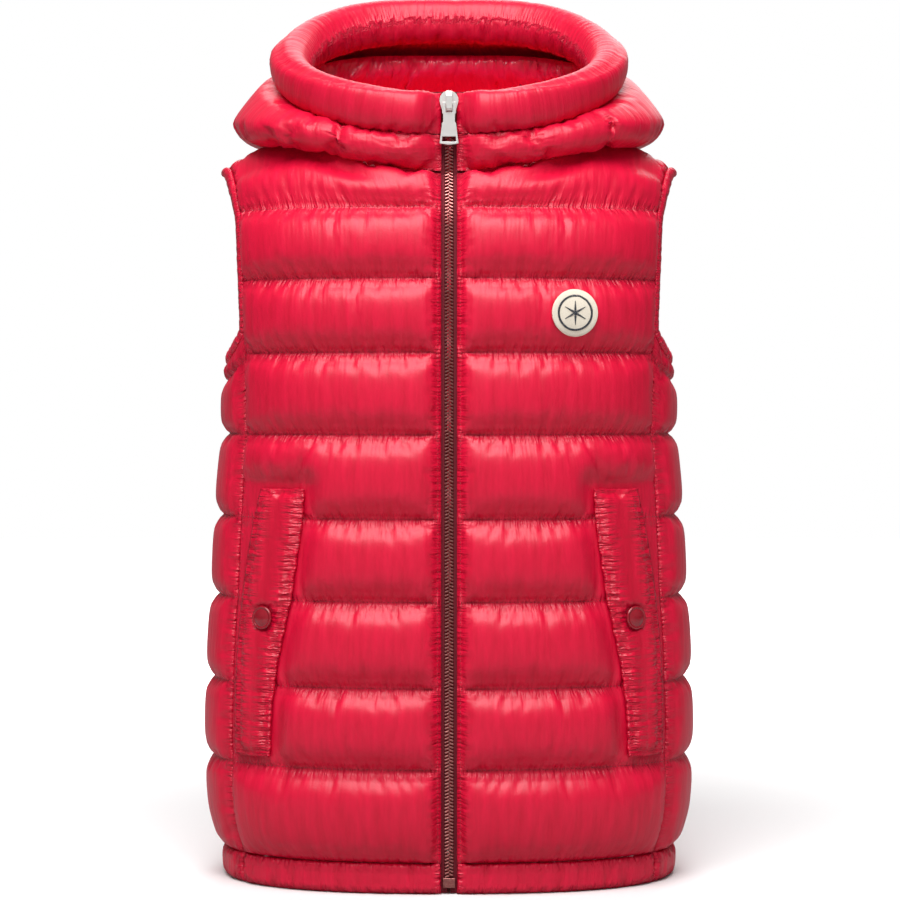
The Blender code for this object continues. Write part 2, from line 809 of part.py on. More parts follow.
def make_pull(material, collection):
    """The pull's bar turns in the slider's bridge, so its origin is on the bar's axis."""
    half_bar = 0.85
    body = [(-4.3, half_bar), (4.3, half_bar), (4.3, -6.1), (3.7, -6.7), (3.7, -11.4), (4.3, -12.2),
            (5.9, -25.0), (0, -25.8), (-5.9, -25.0), (-4.3, -12.2), (-3.7, -11.4), (-3.7, -6.7),
            (-4.3, -6.1)]
    slot = [(-2.1, -half_bar), (2.1, -half_bar), (2.1, -5.6), (-2.1, -5.6)]
    window = [(-4.2, -20.6), (4.2, -20.6), (4.3, -23.8), (-4.3, -23.8)]
    loops = [[(x * MM, z * MM) for x, z in loop] for loop in (body, slot, window)]
    pull = add_object("zip_pull", outline("zip_pull", loops, PULL_THICKNESS / 2), material,
                      collection)
    pull.location = (0, -SLIDER_DEPTH - AXLE_STANDOFF, AXLE_HEIGHT)
    return pull


def outer_point(x, z, standoff):
    """A point on a front, moved out from its inner side."""
    step = 1 * MM
    here = Vector((x, torso_y(x, z, True), z))
    side = Vector((x + step, torso_y(x + step, z, True), z)) - here
    rise = Vector((x, torso_y(x, z + 8 * step, True), z + 8 * step)) - here
    return here + side.cross(rise).normalized() * standoff


def make_flap(side, material, collection):
    bm = bmesh.new()
    heights = [lerp(FLAP[0][0], FLAP[-1][0], part) * MM for part in even(FLAP_ROWS)]
    weight = FLAP_THICKNESS / CROWN

    def place(part, z):
        inner_edge, outer_edge = flap_edges(z)
        x = lerp(inner_edge, outer_edge, part)
        return mirrored(outer_point(x, z, FLAP_STANDOFF), side), weight

    grid(bm, even(FLAP_COLUMNS), heights, place)
    return wall(f"pocket_flap_{side_name(side)}", bm, CROWN, material, collection)


def place_on_front(piece, x, z, standoff, side):
    """Sets a piece whose own Z points out onto a front."""
    point = mirrored(outer_point(x, z, standoff), side)
    inner = mirrored(outer_point(x, z, 0), side)
    piece.location = point
    piece.rotation_euler = (point - inner).to_track_quat("Z", "Y").to_euler()


def make_snap(side, material, collection):
    """A domed cap: half of its section, turned about its own axis."""
    bm = bmesh.new()
    verts = [bm.verts.new((x * MM, 0, z * MM)) for x, z in SNAP_SECTION]
    edges = [bm.edges.new(pair) for pair in zip(verts, verts[1:])]
    bmesh.ops.spin(bm, geom=verts + edges, cent=(0, 0, 0), axis=(0, 0, 1), angle=math.tau,
                   steps=SNAP_STEPS, use_merge=True)
    snap = closed(f"snap_{side_name(side)}", bm, material, collection)
    place_on_front(snap, *SNAP_PLACE, FLAP_STANDOFF + FLAP_THICKNESS + 0.6 * MM, side)
    return snap


def make_patch(material, collection):
    """A round felt patch that follows the padded front."""
    bm = bmesh.new()
    centre_x, centre_z = PATCH_PLACE
    low, high = QUILT_SEAMS[-3:-1]

    def place(corner, ring):
        angle = math.tau * corner / PATCH_STEPS
        x = centre_x + PATCH_RADIUS * ring * math.cos(angle)
        z = centre_z + PATCH_RADIUS * ring * math.sin(angle)
        height = 1 - abs(2 * (z - low) / (high - low) - 1) ** 2.2
        standoff = lerp(SEAM_THICKNESS, CROWN, height) + PATCH_CLEAR
        return outer_point(x, z, standoff), PATCH_THICKNESS / CROWN

    grid(bm, list(range(PATCH_STEPS + 1)), PATCH_RINGS, place)
    bmesh.ops.remove_doubles(bm, verts=bm.verts, dist=0.05 * MM)
    return wall("chest_patch", bm, CROWN, material, collection)


def main():
    for item in list(bpy.data.objects):
        bpy.data.objects.remove(item)
    scene = bpy.context.scene
    collection = bpy.data.collections.new("puffer_vest")
    helpers = bpy.data.collections.new("cutters")
    scene.collection.children.link(collection)
    scene.collection.children.link(helpers)

    def red(name, roughness):
        return new_material(name, REDS[name], roughness)

    shell = [red("shell", 0.4) for _ in range(9)]
    for side in (1, -1):
        make_front(side, shell.pop(), collection)
        make_hem_front(side, shell.pop(), collection)
        make_binding(side, red("binding", 0.45), collection)
        make_flap(side, red("binding", 0.4), collection)
        make_snap(side, new_material("enamel", "A50E22", 0.15), collection)
    make_back(shell.pop(), collection)
    make_hem_back(shell.pop(), collection)
    make_hood_shell(shell.pop(), collection)
    make_hood_rim(shell.pop(), collection)
    make_hood_lining(red("lining", 0.3), collection)
    zip_materials = {"tape": red("tape", 0.8), "teeth": new_material("teeth", "7A3A40", 0.35, 1.0)}
    make_zip(zip_materials, collection)
    make_slider(new_material("nickel", "D8D8D6", 0.15, 1.0), collection, helpers)
    make_pull(new_material("polished nickel", "E2E2E0", 0.12, 1.0), collection)
    make_patch(new_material("felt", "E9DFCF", 0.9), collection)


main()
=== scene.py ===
# %% [markdown]
# A hooded puffer vest is sewn from thin calendered nylon that is filled with down and stitched
# into level channels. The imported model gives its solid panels, its zip and its snaps in metres.
# This lesson keeps their places and gives each one the cloth, thread and metal of the real thing.

import math
import random

import bmesh
import bpy
from mathutils import Matrix, Vector, noise
from mathutils.bvhtree import BVHTree


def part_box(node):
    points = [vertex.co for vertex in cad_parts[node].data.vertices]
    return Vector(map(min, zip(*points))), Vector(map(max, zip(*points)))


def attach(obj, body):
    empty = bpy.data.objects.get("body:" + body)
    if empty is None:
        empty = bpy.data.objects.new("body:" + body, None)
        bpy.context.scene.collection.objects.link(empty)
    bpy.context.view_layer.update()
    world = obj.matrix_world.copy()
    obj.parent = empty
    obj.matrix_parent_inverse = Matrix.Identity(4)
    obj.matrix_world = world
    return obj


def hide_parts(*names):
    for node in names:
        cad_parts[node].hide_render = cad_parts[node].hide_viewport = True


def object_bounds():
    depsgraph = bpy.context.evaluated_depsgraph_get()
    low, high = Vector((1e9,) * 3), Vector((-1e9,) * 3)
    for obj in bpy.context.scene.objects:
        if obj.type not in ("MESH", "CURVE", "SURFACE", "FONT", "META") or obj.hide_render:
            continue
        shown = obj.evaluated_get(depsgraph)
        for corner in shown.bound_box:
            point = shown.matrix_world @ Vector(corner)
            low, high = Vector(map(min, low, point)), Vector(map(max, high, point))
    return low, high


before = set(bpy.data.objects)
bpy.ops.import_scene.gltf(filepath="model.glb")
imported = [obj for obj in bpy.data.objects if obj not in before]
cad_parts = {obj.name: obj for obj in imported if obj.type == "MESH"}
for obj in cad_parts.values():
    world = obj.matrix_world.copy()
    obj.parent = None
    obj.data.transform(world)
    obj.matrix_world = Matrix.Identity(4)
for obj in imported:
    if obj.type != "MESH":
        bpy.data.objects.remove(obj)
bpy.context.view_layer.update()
MM = 0.001

# %% [markdown]
# Everything that is drawn follows a few smooth curves, so three small functions come first. One
# blends two values, one eases from 0 to 1, and one reads a smooth curve through a table of
# measured rows.


# %% Curves and tables
def lerp(start, end, part):
    return start + (end - start) * part


def ease(part):
    part = min(max(part, 0.0), 1.0)
    return part * part * (3 - 2 * part)


def even(steps):
    return [k / steps for k in range(steps + 1)]


def read_table(table, at, flat_ends=False):
    """The columns of a millimetre table, in metres, on a smooth curve through its rows."""
    at = min(max(at, table[0][0]), table[-1][0])
    last = len(table) - 1
    low = max(k for k in range(last) if table[k][0] <= at or k == 0)
    span = table[low + 1][0] - table[low][0]
    part = (at - table[low][0]) / span

    def slope(row, column):
        before, after = max(row - 1, 0), min(row + 1, last)
        if flat_ends and row in (0, last):
            return 0.0
        return (table[after][column] - table[before][column]) / (table[after][0] - table[before][0])

    values = []
    for column in range(1, len(table[0])):
        start, end = table[low][column], table[low + 1][column]
        values.append(
            (2 * part**3 - 3 * part**2 + 1) * start
            + (part**3 - 2 * part**2 + part) * span * slope(low, column)
            + (3 * part**2 - 2 * part**3) * end
            + (part**3 - part**2) * span * slope(low + 1, column)
        )
    return [value * MM for value in values]


# %% [markdown]
# The camera comes early, so that every piece can be looked at as soon as it is made. It stands
# 1.7 m in front of the vest at chest height with a long lens, as in a product studio. A small
# shift puts the hem into the picture while the uprights stay upright.

# %% Camera
EYE_HEIGHT = -162.5 * MM
STAND_BACK = 1.7
camera_data = bpy.data.cameras.new("camera")
camera_data.lens = 104.6
camera_data.sensor_width = 36
camera_data.shift_x = 0.0011
camera_data.shift_y = -0.0556
camera = bpy.data.objects.new("camera", camera_data)
camera.location = (0, -STAND_BACK, EYE_HEIGHT)
camera.rotation_euler = (math.radians(90), 0, 0)
bpy.context.scene.collection.objects.link(camera)
bpy.context.scene.camera = camera
print("camera at", tuple(camera.location))

# %% [markdown]
# Colours are written as the hex values that a designer would pick, and one function turns them
# into the linear numbers that shaders use. A second small function adds a node, sets its values
# and joins its inputs. Three more give what most finishes need: a colour between two, a relief,
# and a mottled surface. That keeps each material short enough to read.


# %% Colours and nodes
def linear(colour):
    channels = [int(colour[k:k + 2], 16) / 255 for k in (0, 2, 4)]
    return (*[c / 12.92 if c <= 0.04045 else ((c + 0.055) / 1.055) ** 2.4 for c in channels], 1)


def add_node(material, kind, values=None, links=None, **settings):
    """Adds a node to a material or a world: its properties, input values and input links."""
    tree = material.node_tree
    node = tree.nodes.new("ShaderNode" + kind)
    for name, value in settings.items():
        setattr(node, name, value)
    for name, value in (values or {}).items():
        node.inputs[name].default_value = value
    for name, socket in (links or {}).items():
        tree.links.new(socket, node.inputs[name])
    return node


def new_material(name, **values):
    material = bpy.data.materials.new(name)
    material.use_nodes = True
    shader = material.node_tree.nodes["Principled BSDF"]
    for name, value in values.items():
        shader.inputs[name.replace("_", " ")].default_value = value
    return material, shader


def join(material, source, shader, name):
    material.node_tree.links.new(source, shader.inputs[name])


def tint(material, shader, factor, dark, light):
    """The surface goes from the dark to the light colour as the factor goes from 0 to 1."""
    mix = add_node(material, "Mix", data_type="RGBA", links={"Factor": factor})
    mix.inputs[6].default_value = linear(dark)
    mix.inputs[7].default_value = linear(light)
    join(material, mix.outputs[2], shader, "Base Color")


def relief(material, shader, height, strength, depth):
    bump = add_node(material, "Bump", links={"Height": height},
                    values={"Strength": strength, "Distance": depth})
    join(material, bump.outputs["Normal"], shader, "Normal")


def mottled(name, dark, light, scale, detail=2.0, **values):
    """A material whose colour wanders between two, on noise in the piece's own space."""
    material, shader = new_material(name, **values)
    spots = add_node(material, "TexNoise", values={"Scale": scale, "Detail": detail},
                     links={"Vector": add_node(material, "TexCoord").outputs["Object"]})
    tint(material, shader, spots.outputs[0], dark, light)
    return material, shader, spots.outputs[0]


# %% [markdown]
# The studio is a pale floor under a white sky. One large lamp hangs high in front, so that the
# upper side of each channel catches it and the lower side stays dark. Two faint lamps stand at
# the sides, and one behind lights the back.

# %% Studio
studio = bpy.data.collections.new("studio")
bpy.context.scene.collection.children.link(studio)
LAMPS = [
    # name, place, size, watts
    ("high front lamp", (-0.15, -1.15, 1.6), 1.7, 68),
    ("left side lamp", (-1.7, -0.6, 0.4), 1.2, 0.6),
    ("right side lamp", (1.7, -0.6, 0.4), 1.2, 0.6),
    ("back lamp", (0.2, 1.7, 1.2), 1.6, 22),
]
AIM = Vector((0, 0, -0.18))
for name, place, size, watts in LAMPS:
    lamp_data = bpy.data.lights.new(name, "AREA")
    lamp_data.size = size
    lamp_data.energy = watts
    lamp = bpy.data.objects.new(name, lamp_data)
    lamp.location = place
    lamp.rotation_euler = (AIM - Vector(place)).to_track_quat("-Z", "Y").to_euler()
    studio.objects.link(lamp)

# The sky looks white, but sends less light than that, so that folds keep their depth. Its light
# comes from in front and behind, and the sides stay dim, as between two black flags.
SKY_SIDE = 0.09
SKY_FRONT = 0.34
sky = bpy.data.worlds.new("white studio")
sky.use_nodes = True
split = add_node(sky, "SeparateXYZ", links={0: add_node(sky, "TexCoord").outputs["Generated"]})
facing = add_node(sky, "Math", operation="ABSOLUTE", links={0: split.outputs["Y"]})
fill = add_node(sky, "MapRange", interpolation_type="SMOOTHSTEP",
                links={"Value": facing.outputs[0]},
                values={"From Min": 0.1, "From Max": 1.0, "To Min": SKY_SIDE, "To Max": SKY_FRONT})
seen = add_node(sky, "LightPath").outputs["Is Camera Ray"]
strength = add_node(sky, "MapRange", links={"Value": seen, "To Min": fill.outputs["Result"]},
                    values={"To Max": 1.0})
background = sky.node_tree.nodes["Background"]
background.inputs["Color"].default_value = (1, 1, 1, 1)
join(sky, strength.outputs["Result"], background, "Strength")
bpy.context.scene.world = sky

# Plain display colours keep a clear red clear, where a film curve would turn it to pink.
bpy.context.scene.view_settings.view_transform = "Standard"
print("lamps:", len(LAMPS))

# %% [markdown]
# Calendered nylon is a fine plain weave that is pressed between hot rollers. That gives the eye
# a soft satin gloss over a deep colour. Where it is sewn it gathers into small puckers, square
# to the seam and about 2.6 mm apart. They are too fine for the mesh, so the bump draws them:
# stretched noise, strongest at the stitches and gone after a few millimetres. Each cloth piece
# carries how far a point is from the nearest seam and from the nearest upright edge.

# %% Calendered nylon
PUCKER = 2.6 * MM
PUCKER_LENGTH = 14 * MM
STREAK_LENGTH = 45 * MM
PUCKER_REACH = 7 * MM
THREAD = 0.9 * MM  # real yarns are 0.1 mm apart, too fine to show, so the weave is coarser


def stretched_noise(material, along, across, detail=2.0):
    """Noise drawn out along one direction of the piece's own map, at two real spacings."""
    uv = add_node(material, "UVMap")
    scale = add_node(material, "VectorMath", operation="MULTIPLY", links={0: uv.outputs[0]},
                     values={1: (1 / across, 1 / along, 1)})
    made = add_node(material, "TexNoise", values={"Scale": 1.0, "Detail": detail, "Roughness": 0.55},
                    links={"Vector": scale.outputs[0]})
    return made.outputs["Factor"] if "Factor" in made.outputs else made.outputs["Fac"]


def closeness(material, attribute, reach):
    """1 on the line that the attribute measures from, 0 at the reach and beyond."""
    distance = add_node(material, "Attribute", attribute_name=attribute)
    near = add_node(material, "MapRange", links={"Value": distance.outputs["Fac"]},
                    values={"From Min": 0.0, "From Max": reach, "To Min": 1.0, "To Max": 0.0},
                    interpolation_type="SMOOTHSTEP")
    return near.outputs[0]


def product(material, first, second):
    links = {0: first}
    values = {}
    if isinstance(second, float):
        values[1] = second
    else:
        links[1] = second
    return add_node(material, "Math", operation="MULTIPLY", links=links, values=values).outputs[0]


def total(material, parts):
    result = parts[0]
    for part in parts[1:]:
        result = add_node(material, "Math", operation="ADD", links={0: result, 1: part}).outputs[0]
    return result


def nylon(name, bright, deep, roughness, pucker=1.9, streak=0.4, sheen=0.02,
          reach=PUCKER_REACH):
    material, shader = new_material(name, Roughness=roughness, IOR=1.45,
                                    Sheen_Weight=sheen, Sheen_Roughness=0.35)
    shader.inputs["Sheen Tint"].default_value = linear("FF7A98")
    at_seam = closeness(material, "seam", reach)
    at_edge = closeness(material, "edge", reach)
    upright = stretched_noise(material, PUCKER_LENGTH, PUCKER)
    level = stretched_noise(material, PUCKER, PUCKER_LENGTH)
    streaks = stretched_noise(material, STREAK_LENGTH, 5.0 * MM)
    weave = stretched_noise(material, THREAD, THREAD, detail=0.0)
    height = total(material, [
        product(material, product(material, upright, at_seam), pucker),
        product(material, product(material, level, at_edge), pucker),
        product(material, streaks, streak),
        product(material, weave, 0.03),
    ])
    relief(material, shader, height, 0.9, 1.6 * MM)
    # The streak and pucker noise also paints the colour, lighter on its rises and darker in its
    # hollows. This is painted highlight and painted shade of the small wrinkles and puckers, not a
    # tone of the dyed cloth.
    painted_wrinkle_shade = total(material, [product(material, streaks, 0.5), product(material, upright, 0.3)])
    shade = add_node(material, "MapRange", links={"Value": painted_wrinkle_shade},
                     values={"From Min": 0.25, "From Max": 0.6})
    tint(material, shader, shade.outputs[0], deep, bright)
    return material


shell_nylon = nylon("calendered nylon, down filled", "E80C3E", "CE0430", 0.41)
hood_nylon = nylon("calendered nylon of the hood", "E80C3E", "CE0430", 0.41, pucker=1.6,
                   streak=0.6)
lining_nylon = nylon("thin glossy nylon lining", "FF2658", "F01446", 0.25, pucker=0.6,
                     streak=0.8)
band_nylon = nylon("gathered nylon of the bands", "EC0C40", "D00632", 0.4, pucker=2.6,
                   streak=1.0)
flap_nylon = nylon("gathered nylon of the flaps", "EA0A3C", "C4042C", 0.34, pucker=3.0,
                   streak=0.6, reach=11 * MM)
print("nylons:", shell_nylon.name, lining_nylon.name)

# %% [markdown]
# The torso is hollow. Its inner side follows rings that were measured from the hem to the top of
# the shoulders: a half width, and how far the front and the back stand off the middle. The same
# table shapes the solid panels, so the cloth lands on them.

# %% The form inside the vest
ROUNDNESS = 2.4
RINGS = [
    # height, half_width, front_depth, back_depth
    (-468, 141, 85, 77),
    (-445, 142.5, 86, 78),
    (-420, 148, 89, 81),
    (-380, 150, 92, 83),
    (-330, 149, 93, 82),
    (-278, 146, 92, 80),
    (-228, 143.5, 91, 80),
    (-183, 140, 90, 82),
    (-133, 141, 88, 86),
    (-87, 143, 86, 88),
    (-43, 146, 80, 87),
    (-14, 149.5, 73, 86),
    (20, 150, 68, 84),
]
HEM_END = -467 * MM
QUILT_SEAMS = [z * MM for z in (-448, -390, -340, -287, -236, -184, -133, -87, -43)]
YOKE_SEAM = QUILT_SEAMS[-1]
YOKE_RISE = 60 * MM
YOKE_TOP = YOKE_SEAM + YOKE_RISE
SHOULDER_TOP = 26.1 * MM
SHOULDER_FALL = 1.957
SHOULDER_ROLL = 80 * MM
SHOULDER_TIP = 142 * MM
SHOULDER_LAP = 1.2 * MM
NECK_HALF_WIDTH = 85 * MM
NECK_FRONT = -22 * MM
NECK_SIDE = 12 * MM
NECK_BACK = 6 * MM
NECK_SHARE = 0.55
PANEL_BEND = math.radians(70)
SIDE_SEAM = 0.9
ARMHOLE_CORNER = -117 * MM
ARMHOLE_BOTTOM = -140 * MM
UNDERARM_BEND = 0.98
ZIP_EDGE = 4.9 * MM


def ring_at(z):
    return read_table(RINGS, z / MM)


def shoulder_height(x):
    return SHOULDER_TOP - SHOULDER_FALL * x * x


def torso_y(x, z, front):
    """How far forward or back the inner side of the cloth lies."""
    half_width, front_depth, back_depth = ring_at(z)
    across = max(0.0, 1 - (abs(x) / half_width) ** ROUNDNESS) ** (1 / ROUNDNESS)
    drop = min(max((shoulder_height(x) - z) / SHOULDER_ROLL, 0.0), 1.0)
    roll = math.sqrt(1 - (1 - drop) ** 2)
    if front:
        return -max(front_depth * across * roll, 0.15 * MM)
    return max(back_depth * across * roll, 0.15 * MM)


def neck_point(turn):
    """The neck seam, from the front centre (0) round the left side (90) to the back (180)."""
    x = NECK_HALF_WIDTH * math.sin(turn) + ZIP_EDGE * (1 + math.cos(turn)) / 2
    front = turn <= math.pi / 2
    z = lerp(NECK_SIDE, NECK_FRONT if front else NECK_BACK, abs(math.cos(turn)))
    z = min(z, shoulder_height(x))
    return Vector((x, torso_y(x, z, front), z))


def top_point(across, front):
    """The upper edge of a front or back: along the neck seam, then along the shoulder seam."""
    if across <= NECK_SHARE:
        turn = across / NECK_SHARE * math.pi / 2
        return neck_point(turn if front else math.pi - turn)
    x = lerp(neck_point(math.pi / 2).x, SHOULDER_TIP, (across - NECK_SHARE) / (1 - NECK_SHARE))
    z = shoulder_height(x)
    return Vector((x, torso_y(x, z, front), z))


def lapped(point, across, level, front):
    """At the shoulder seam each edge reaches a little past the middle, so that the seam closes."""
    if level < YOKE_TOP or across < NECK_SHARE:
        return point
    return point + Vector((0, SHOULDER_LAP if front else -SHOULDER_LAP, 0))


def panel_x(across, z, front):
    part = math.sin(across * PANEL_BEND) / math.sin(PANEL_BEND)
    return lerp(ZIP_EDGE if front else 0.0, SIDE_SEAM * ring_at(z)[0], part)


def panel_point(across, level, front):
    """A point of the inner side of a front or back: 0 at the centre, 1 at the side seam."""
    if level <= YOKE_SEAM:
        x = panel_x(across, level, front)
        return Vector((x, torso_y(x, level, front), level))
    part = (level - YOKE_SEAM) / YOKE_RISE
    top = top_point(across, front)
    if part >= 1:
        return top
    x = lerp(panel_x(across, YOKE_SEAM, front), top.x, part)
    z = min(lerp(YOKE_SEAM, top.z, math.sin(part * math.pi / 2)), shoulder_height(x))
    return Vector((x, torso_y(x, z, front), z))


def flank_point(around, level):
    """The back's side pieces: -1 at the side seam, 0 at the widest place, 1 where the back begins."""
    rise = (1 - math.sqrt(1 - UNDERARM_BEND * around * around)) / (1 - math.sqrt(1 - UNDERARM_BEND))
    top = lerp(ARMHOLE_BOTTOM, ARMHOLE_CORNER, rise)
    under = QUILT_SEAMS[5]
    if level > under:
        level = lerp(under, top, (level - under) / (ARMHOLE_CORNER - under))
    half_width, front_depth, back_depth = ring_at(level)
    y = abs(around) * torso_y(SIDE_SEAM * half_width, level, around < 0)
    depth = front_depth if around < 0 else back_depth
    x = half_width * (1 - (abs(y) / depth) ** ROUNDNESS) ** (1 / ROUNDNESS)
    return Vector((x, y, level))


print("chest ring:", [round(v / MM, 1) for v in ring_at(-0.15)], "mm")

# %% [markdown]
# A cloth piece starts as a bmesh grid that is laid on the form. Every point keeps notes for the
# later steps: how far it is pushed out to begin with, how far it may stand off in the end,
# whether a stitch holds it, its place on the flat cloth in metres, and how far it is from a seam
# and from an upright edge.

# %% Laying cloth on the form
NOTES = ("push", "cap", "stitched", "flat_u", "flat_v", "seam", "edge")


def new_cloth():
    bm = bmesh.new()
    for note in NOTES:
        bm.verts.layers.float.new(note)
    return bm


def lay_grid(bm, columns, rows, place):
    """A grid laid on a surface: place takes a column and a row and gives a point and its notes."""
    layers = [bm.verts.layers.float[note] for note in NOTES]
    made = bmesh.ops.create_grid(
        bm, x_segments=len(columns) - 1, y_segments=len(rows) - 1, size=1
    )
    for vert in made["verts"]:
        column = columns[round((vert.co.x + 1) / 2 * (len(columns) - 1))]
        row = rows[round((vert.co.y + 1) / 2 * (len(rows) - 1))]
        vert.co, notes = place(column, row)
        for layer, value in zip(layers, notes):
            vert[layer] = value


def spaced(place, low, high, cell):
    """Values from low to high that lie a cell apart along a line, with how far each is along it."""
    fine = [lerp(low, high, part) for part in even(160)]
    run = [0.0]
    for before, after in zip(fine, fine[1:]):
        run.append(run[-1] + (place(after) - place(before)).length)
    count = max(2, round(run[-1] / cell))
    values, at = [], 0
    for k in range(count + 1):
        goal = run[-1] * k / count
        while at < len(run) - 2 and run[at + 1] < goal:
            at += 1
        part = (goal - run[at]) / max(run[at + 1] - run[at], 1e-12)
        values.append((lerp(fine[at], fine[at + 1], part), goal))
    values[-1] = (high, run[-1])
    return values


def levels_between(breaks, cell):
    """Levels that meet every break, about a cell apart."""
    levels = []
    for low, high in zip(breaks, breaks[1:]):
        steps = max(3, round((high - low) / cell))
        levels += [lerp(low, high, k / steps) for k in range(steps)]
    return levels + [breaks[-1]]


def channel_height(level):
    """0 at a quilting seam, 1 at the crown of a channel."""
    for low, high in zip(QUILT_SEAMS + [YOKE_TOP], QUILT_SEAMS[1:] + [YOKE_TOP]):
        if low <= level <= high and high > low:
            return 1 - abs(2 * (level - low) / (high - low) - 1) ** 2.2
    if level > YOKE_SEAM:
        return 1 - abs(2 * (level - YOKE_SEAM) / YOKE_RISE - 1) ** 1.5
    return 0.0


def seam_distance(level):
    return min(abs(level - seam) for seam in QUILT_SEAMS + [YOKE_TOP])


def on_seam(level):
    return seam_distance(level) < 0.01 * MM


# %% [markdown]
# Down inside a stitched channel pushes the cloth out, while the thread holds the seam back and
# gathers it. Blender's Cloth does exactly that: the seam points are pinned, a little pressure
# stands for the down, and a negative shrink cuts the cloth a few per cent larger than the form,
# so that it has to pucker. The solver is tuned for things about a metre or more across, so the
# piece is enlarged, settled over a few frames and brought back to size.

# %% Settling cloth with pressure
ENLARGE = 8.0


def settle(mesh, slack, pressure, frames, bending=0.05):
    """The settled points of a padded cloth that is pinned at its stitches."""
    trial = bpy.data.objects.new("settling", mesh.copy())
    trial.data.transform(Matrix.Scale(ENLARGE, 4))
    bpy.context.scene.collection.objects.link(trial)
    held = trial.vertex_groups.new(name="held")
    stitched = mesh.attributes["stitched"].data
    held.add([k for k, item in enumerate(stitched) if item.value > 0.5], 1.0, "REPLACE")
    cloth = trial.modifiers.new("cloth", "CLOTH")
    cloth.settings.quality = 5
    cloth.settings.mass = 0.3
    cloth.settings.air_damping = 2
    cloth.settings.tension_stiffness = 15
    cloth.settings.compression_stiffness = 15
    cloth.settings.shear_stiffness = 5
    cloth.settings.bending_stiffness = bending
    cloth.settings.vertex_group_mass = "held"
    cloth.settings.use_pressure = True
    cloth.settings.uniform_pressure_force = pressure
    cloth.settings.shrink_min = -slack
    cloth.settings.effector_weights.gravity = 0
    cloth.collision_settings.use_collision = False
    cloth.point_cache.frame_start = 1
    cloth.point_cache.frame_end = frames
    for step in range(1, frames + 1):
        bpy.context.scene.frame_set(step)
    graph = bpy.context.evaluated_depsgraph_get()
    points = [vert.co / ENLARGE for vert in trial.evaluated_get(graph).data.vertices]
    bpy.data.objects.remove(trial)
    bpy.context.scene.frame_set(1)
    return points


def soft_cap(out, cap):
    """Leaves small values as they are and bends larger ones to stay under the cap."""
    knee = 0.75 * cap
    if out <= knee:
        return out
    return knee + (cap - knee) * (1 - math.exp(-(out - knee) / (cap - knee)))


# %% [markdown]
# The last step of every cloth piece is the same. Its grid is pushed out, settled, held under its
# cap so that it stays clear of its neighbours, given a map in metres for the weave, and closed
# into a thin wall with a Solidify modifier. The object stays at the origin.

# %% Finishing a cloth piece
CLOTH_WALL = 0.7 * MM
vest_pieces = bpy.data.collections.new("vest_pieces")
bpy.context.scene.collection.children.link(vest_pieces)


def add_piece(name, mesh, material, body="vest"):
    piece = bpy.data.objects.new(name, mesh)
    mesh.materials.clear()
    mesh.materials.append(material)
    vest_pieces.objects.link(piece)
    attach(piece, body)
    return piece


def made_mesh(name, bm, smooth=True):
    mesh = bpy.data.meshes.new(name)
    bm.to_mesh(mesh)
    bm.free()
    if smooth:
        mesh.shade_smooth()
    return mesh


def on_side(point, side):
    """The same point on the wearer's left (1) or right (-1)."""
    return Vector((point.x * side, point.y, point.z))


def mirror(bm):
    bmesh.ops.scale(bm, vec=(-1, 1, 1), verts=bm.verts)
    bmesh.ops.reverse_faces(bm, faces=bm.faces)


def face_outward(bm):
    """Turns the faces of a closed tube outward."""
    bmesh.ops.recalc_face_normals(bm, faces=bm.faces)
    if bm.calc_volume(signed=True) < 0:
        bmesh.ops.reverse_faces(bm, faces=bm.faces)


def write_map(bm):
    """Copies each point's place on the flat cloth into the piece's map."""
    u, v = bm.verts.layers.float["flat_u"], bm.verts.layers.float["flat_v"]
    uv = bm.loops.layers.uv.new("flat cloth")
    for face in bm.faces:
        for loop in face.loops:
            loop[uv].uv = (loop.vert[u], loop.vert[v])


def cloth_mesh(name, bm, slack=0.05, pressure=12.0, frames=22, jitter=0.12 * MM, floor=0.5 * MM,
               bending=0.05, tube=False, inside=0.0):
    """Pushes a laid grid out from the form, settles it and gives its finished mesh."""
    bmesh.ops.remove_doubles(bm, verts=bm.verts, dist=0.001 * MM)
    bmesh.ops.recalc_face_normals(bm, faces=bm.faces)
    outward_sum = sum(face.normal.dot(face.calc_center_median() * Vector((1, 1, 0)))
                      * face.calc_area() for face in bm.faces)
    if not tube and outward_sum < 0:
        bmesh.ops.reverse_faces(bm, faces=bm.faces)
    bm.normal_update()
    write_map(bm)
    push, cap = bm.verts.layers.float["push"], bm.verts.layers.float["cap"]
    stitched = bm.verts.layers.float["stitched"]
    base = [(vert.co.copy(), vert.normal.copy(), vert[cap]) for vert in bm.verts]
    chance = random.Random(name)
    for vert in bm.verts:
        vert.co += vert.normal * vert[push]
        if vert[stitched] < 0.5:
            vert.co += Vector([chance.gauss(0, jitter) for _ in range(3)])
    mesh = bpy.data.meshes.new(name)
    bm.to_mesh(mesh)
    bm.free()
    for vert, point, (start, normal, limit) in zip(
        mesh.vertices, settle(mesh, slack, pressure, frames, bending), base
    ):
        out = (point - start).dot(normal)
        if inside:
            kept = -soft_cap(max(-out - 0.6 * MM, 0), inside + LINING_CLEAR) - 0.6 * MM
        else:
            kept = max(soft_cap(out, limit), floor)
        vert.co = point + normal * (kept - out)
    mesh.shade_smooth()
    return mesh


def wall(piece, thickness=CLOTH_WALL):
    solidify = piece.modifiers.new("cloth wall", "SOLIDIFY")
    solidify.thickness = thickness
    solidify.offset = -1
    return piece


def add_pair(part, ending, mesh, material):
    """The wearer's left piece, and its mirror image for the right."""
    mirrored = bmesh.new()
    mirrored.from_mesh(mesh)
    mirror(mirrored)
    meshes = {"left": mesh, "right": made_mesh(f"{part}_right_{ending}", mirrored, smooth=False)}
    pieces = []
    for side, own in meshes.items():
        piece = add_piece(f"{part}_{side}_{ending}", own, material)
        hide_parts(f"{part}_{side}")
        pieces.append(piece)
    return pieces


def report(piece):
    print(piece.name, len(piece.data.vertices), "points,", len(piece.data.polygons), "faces")


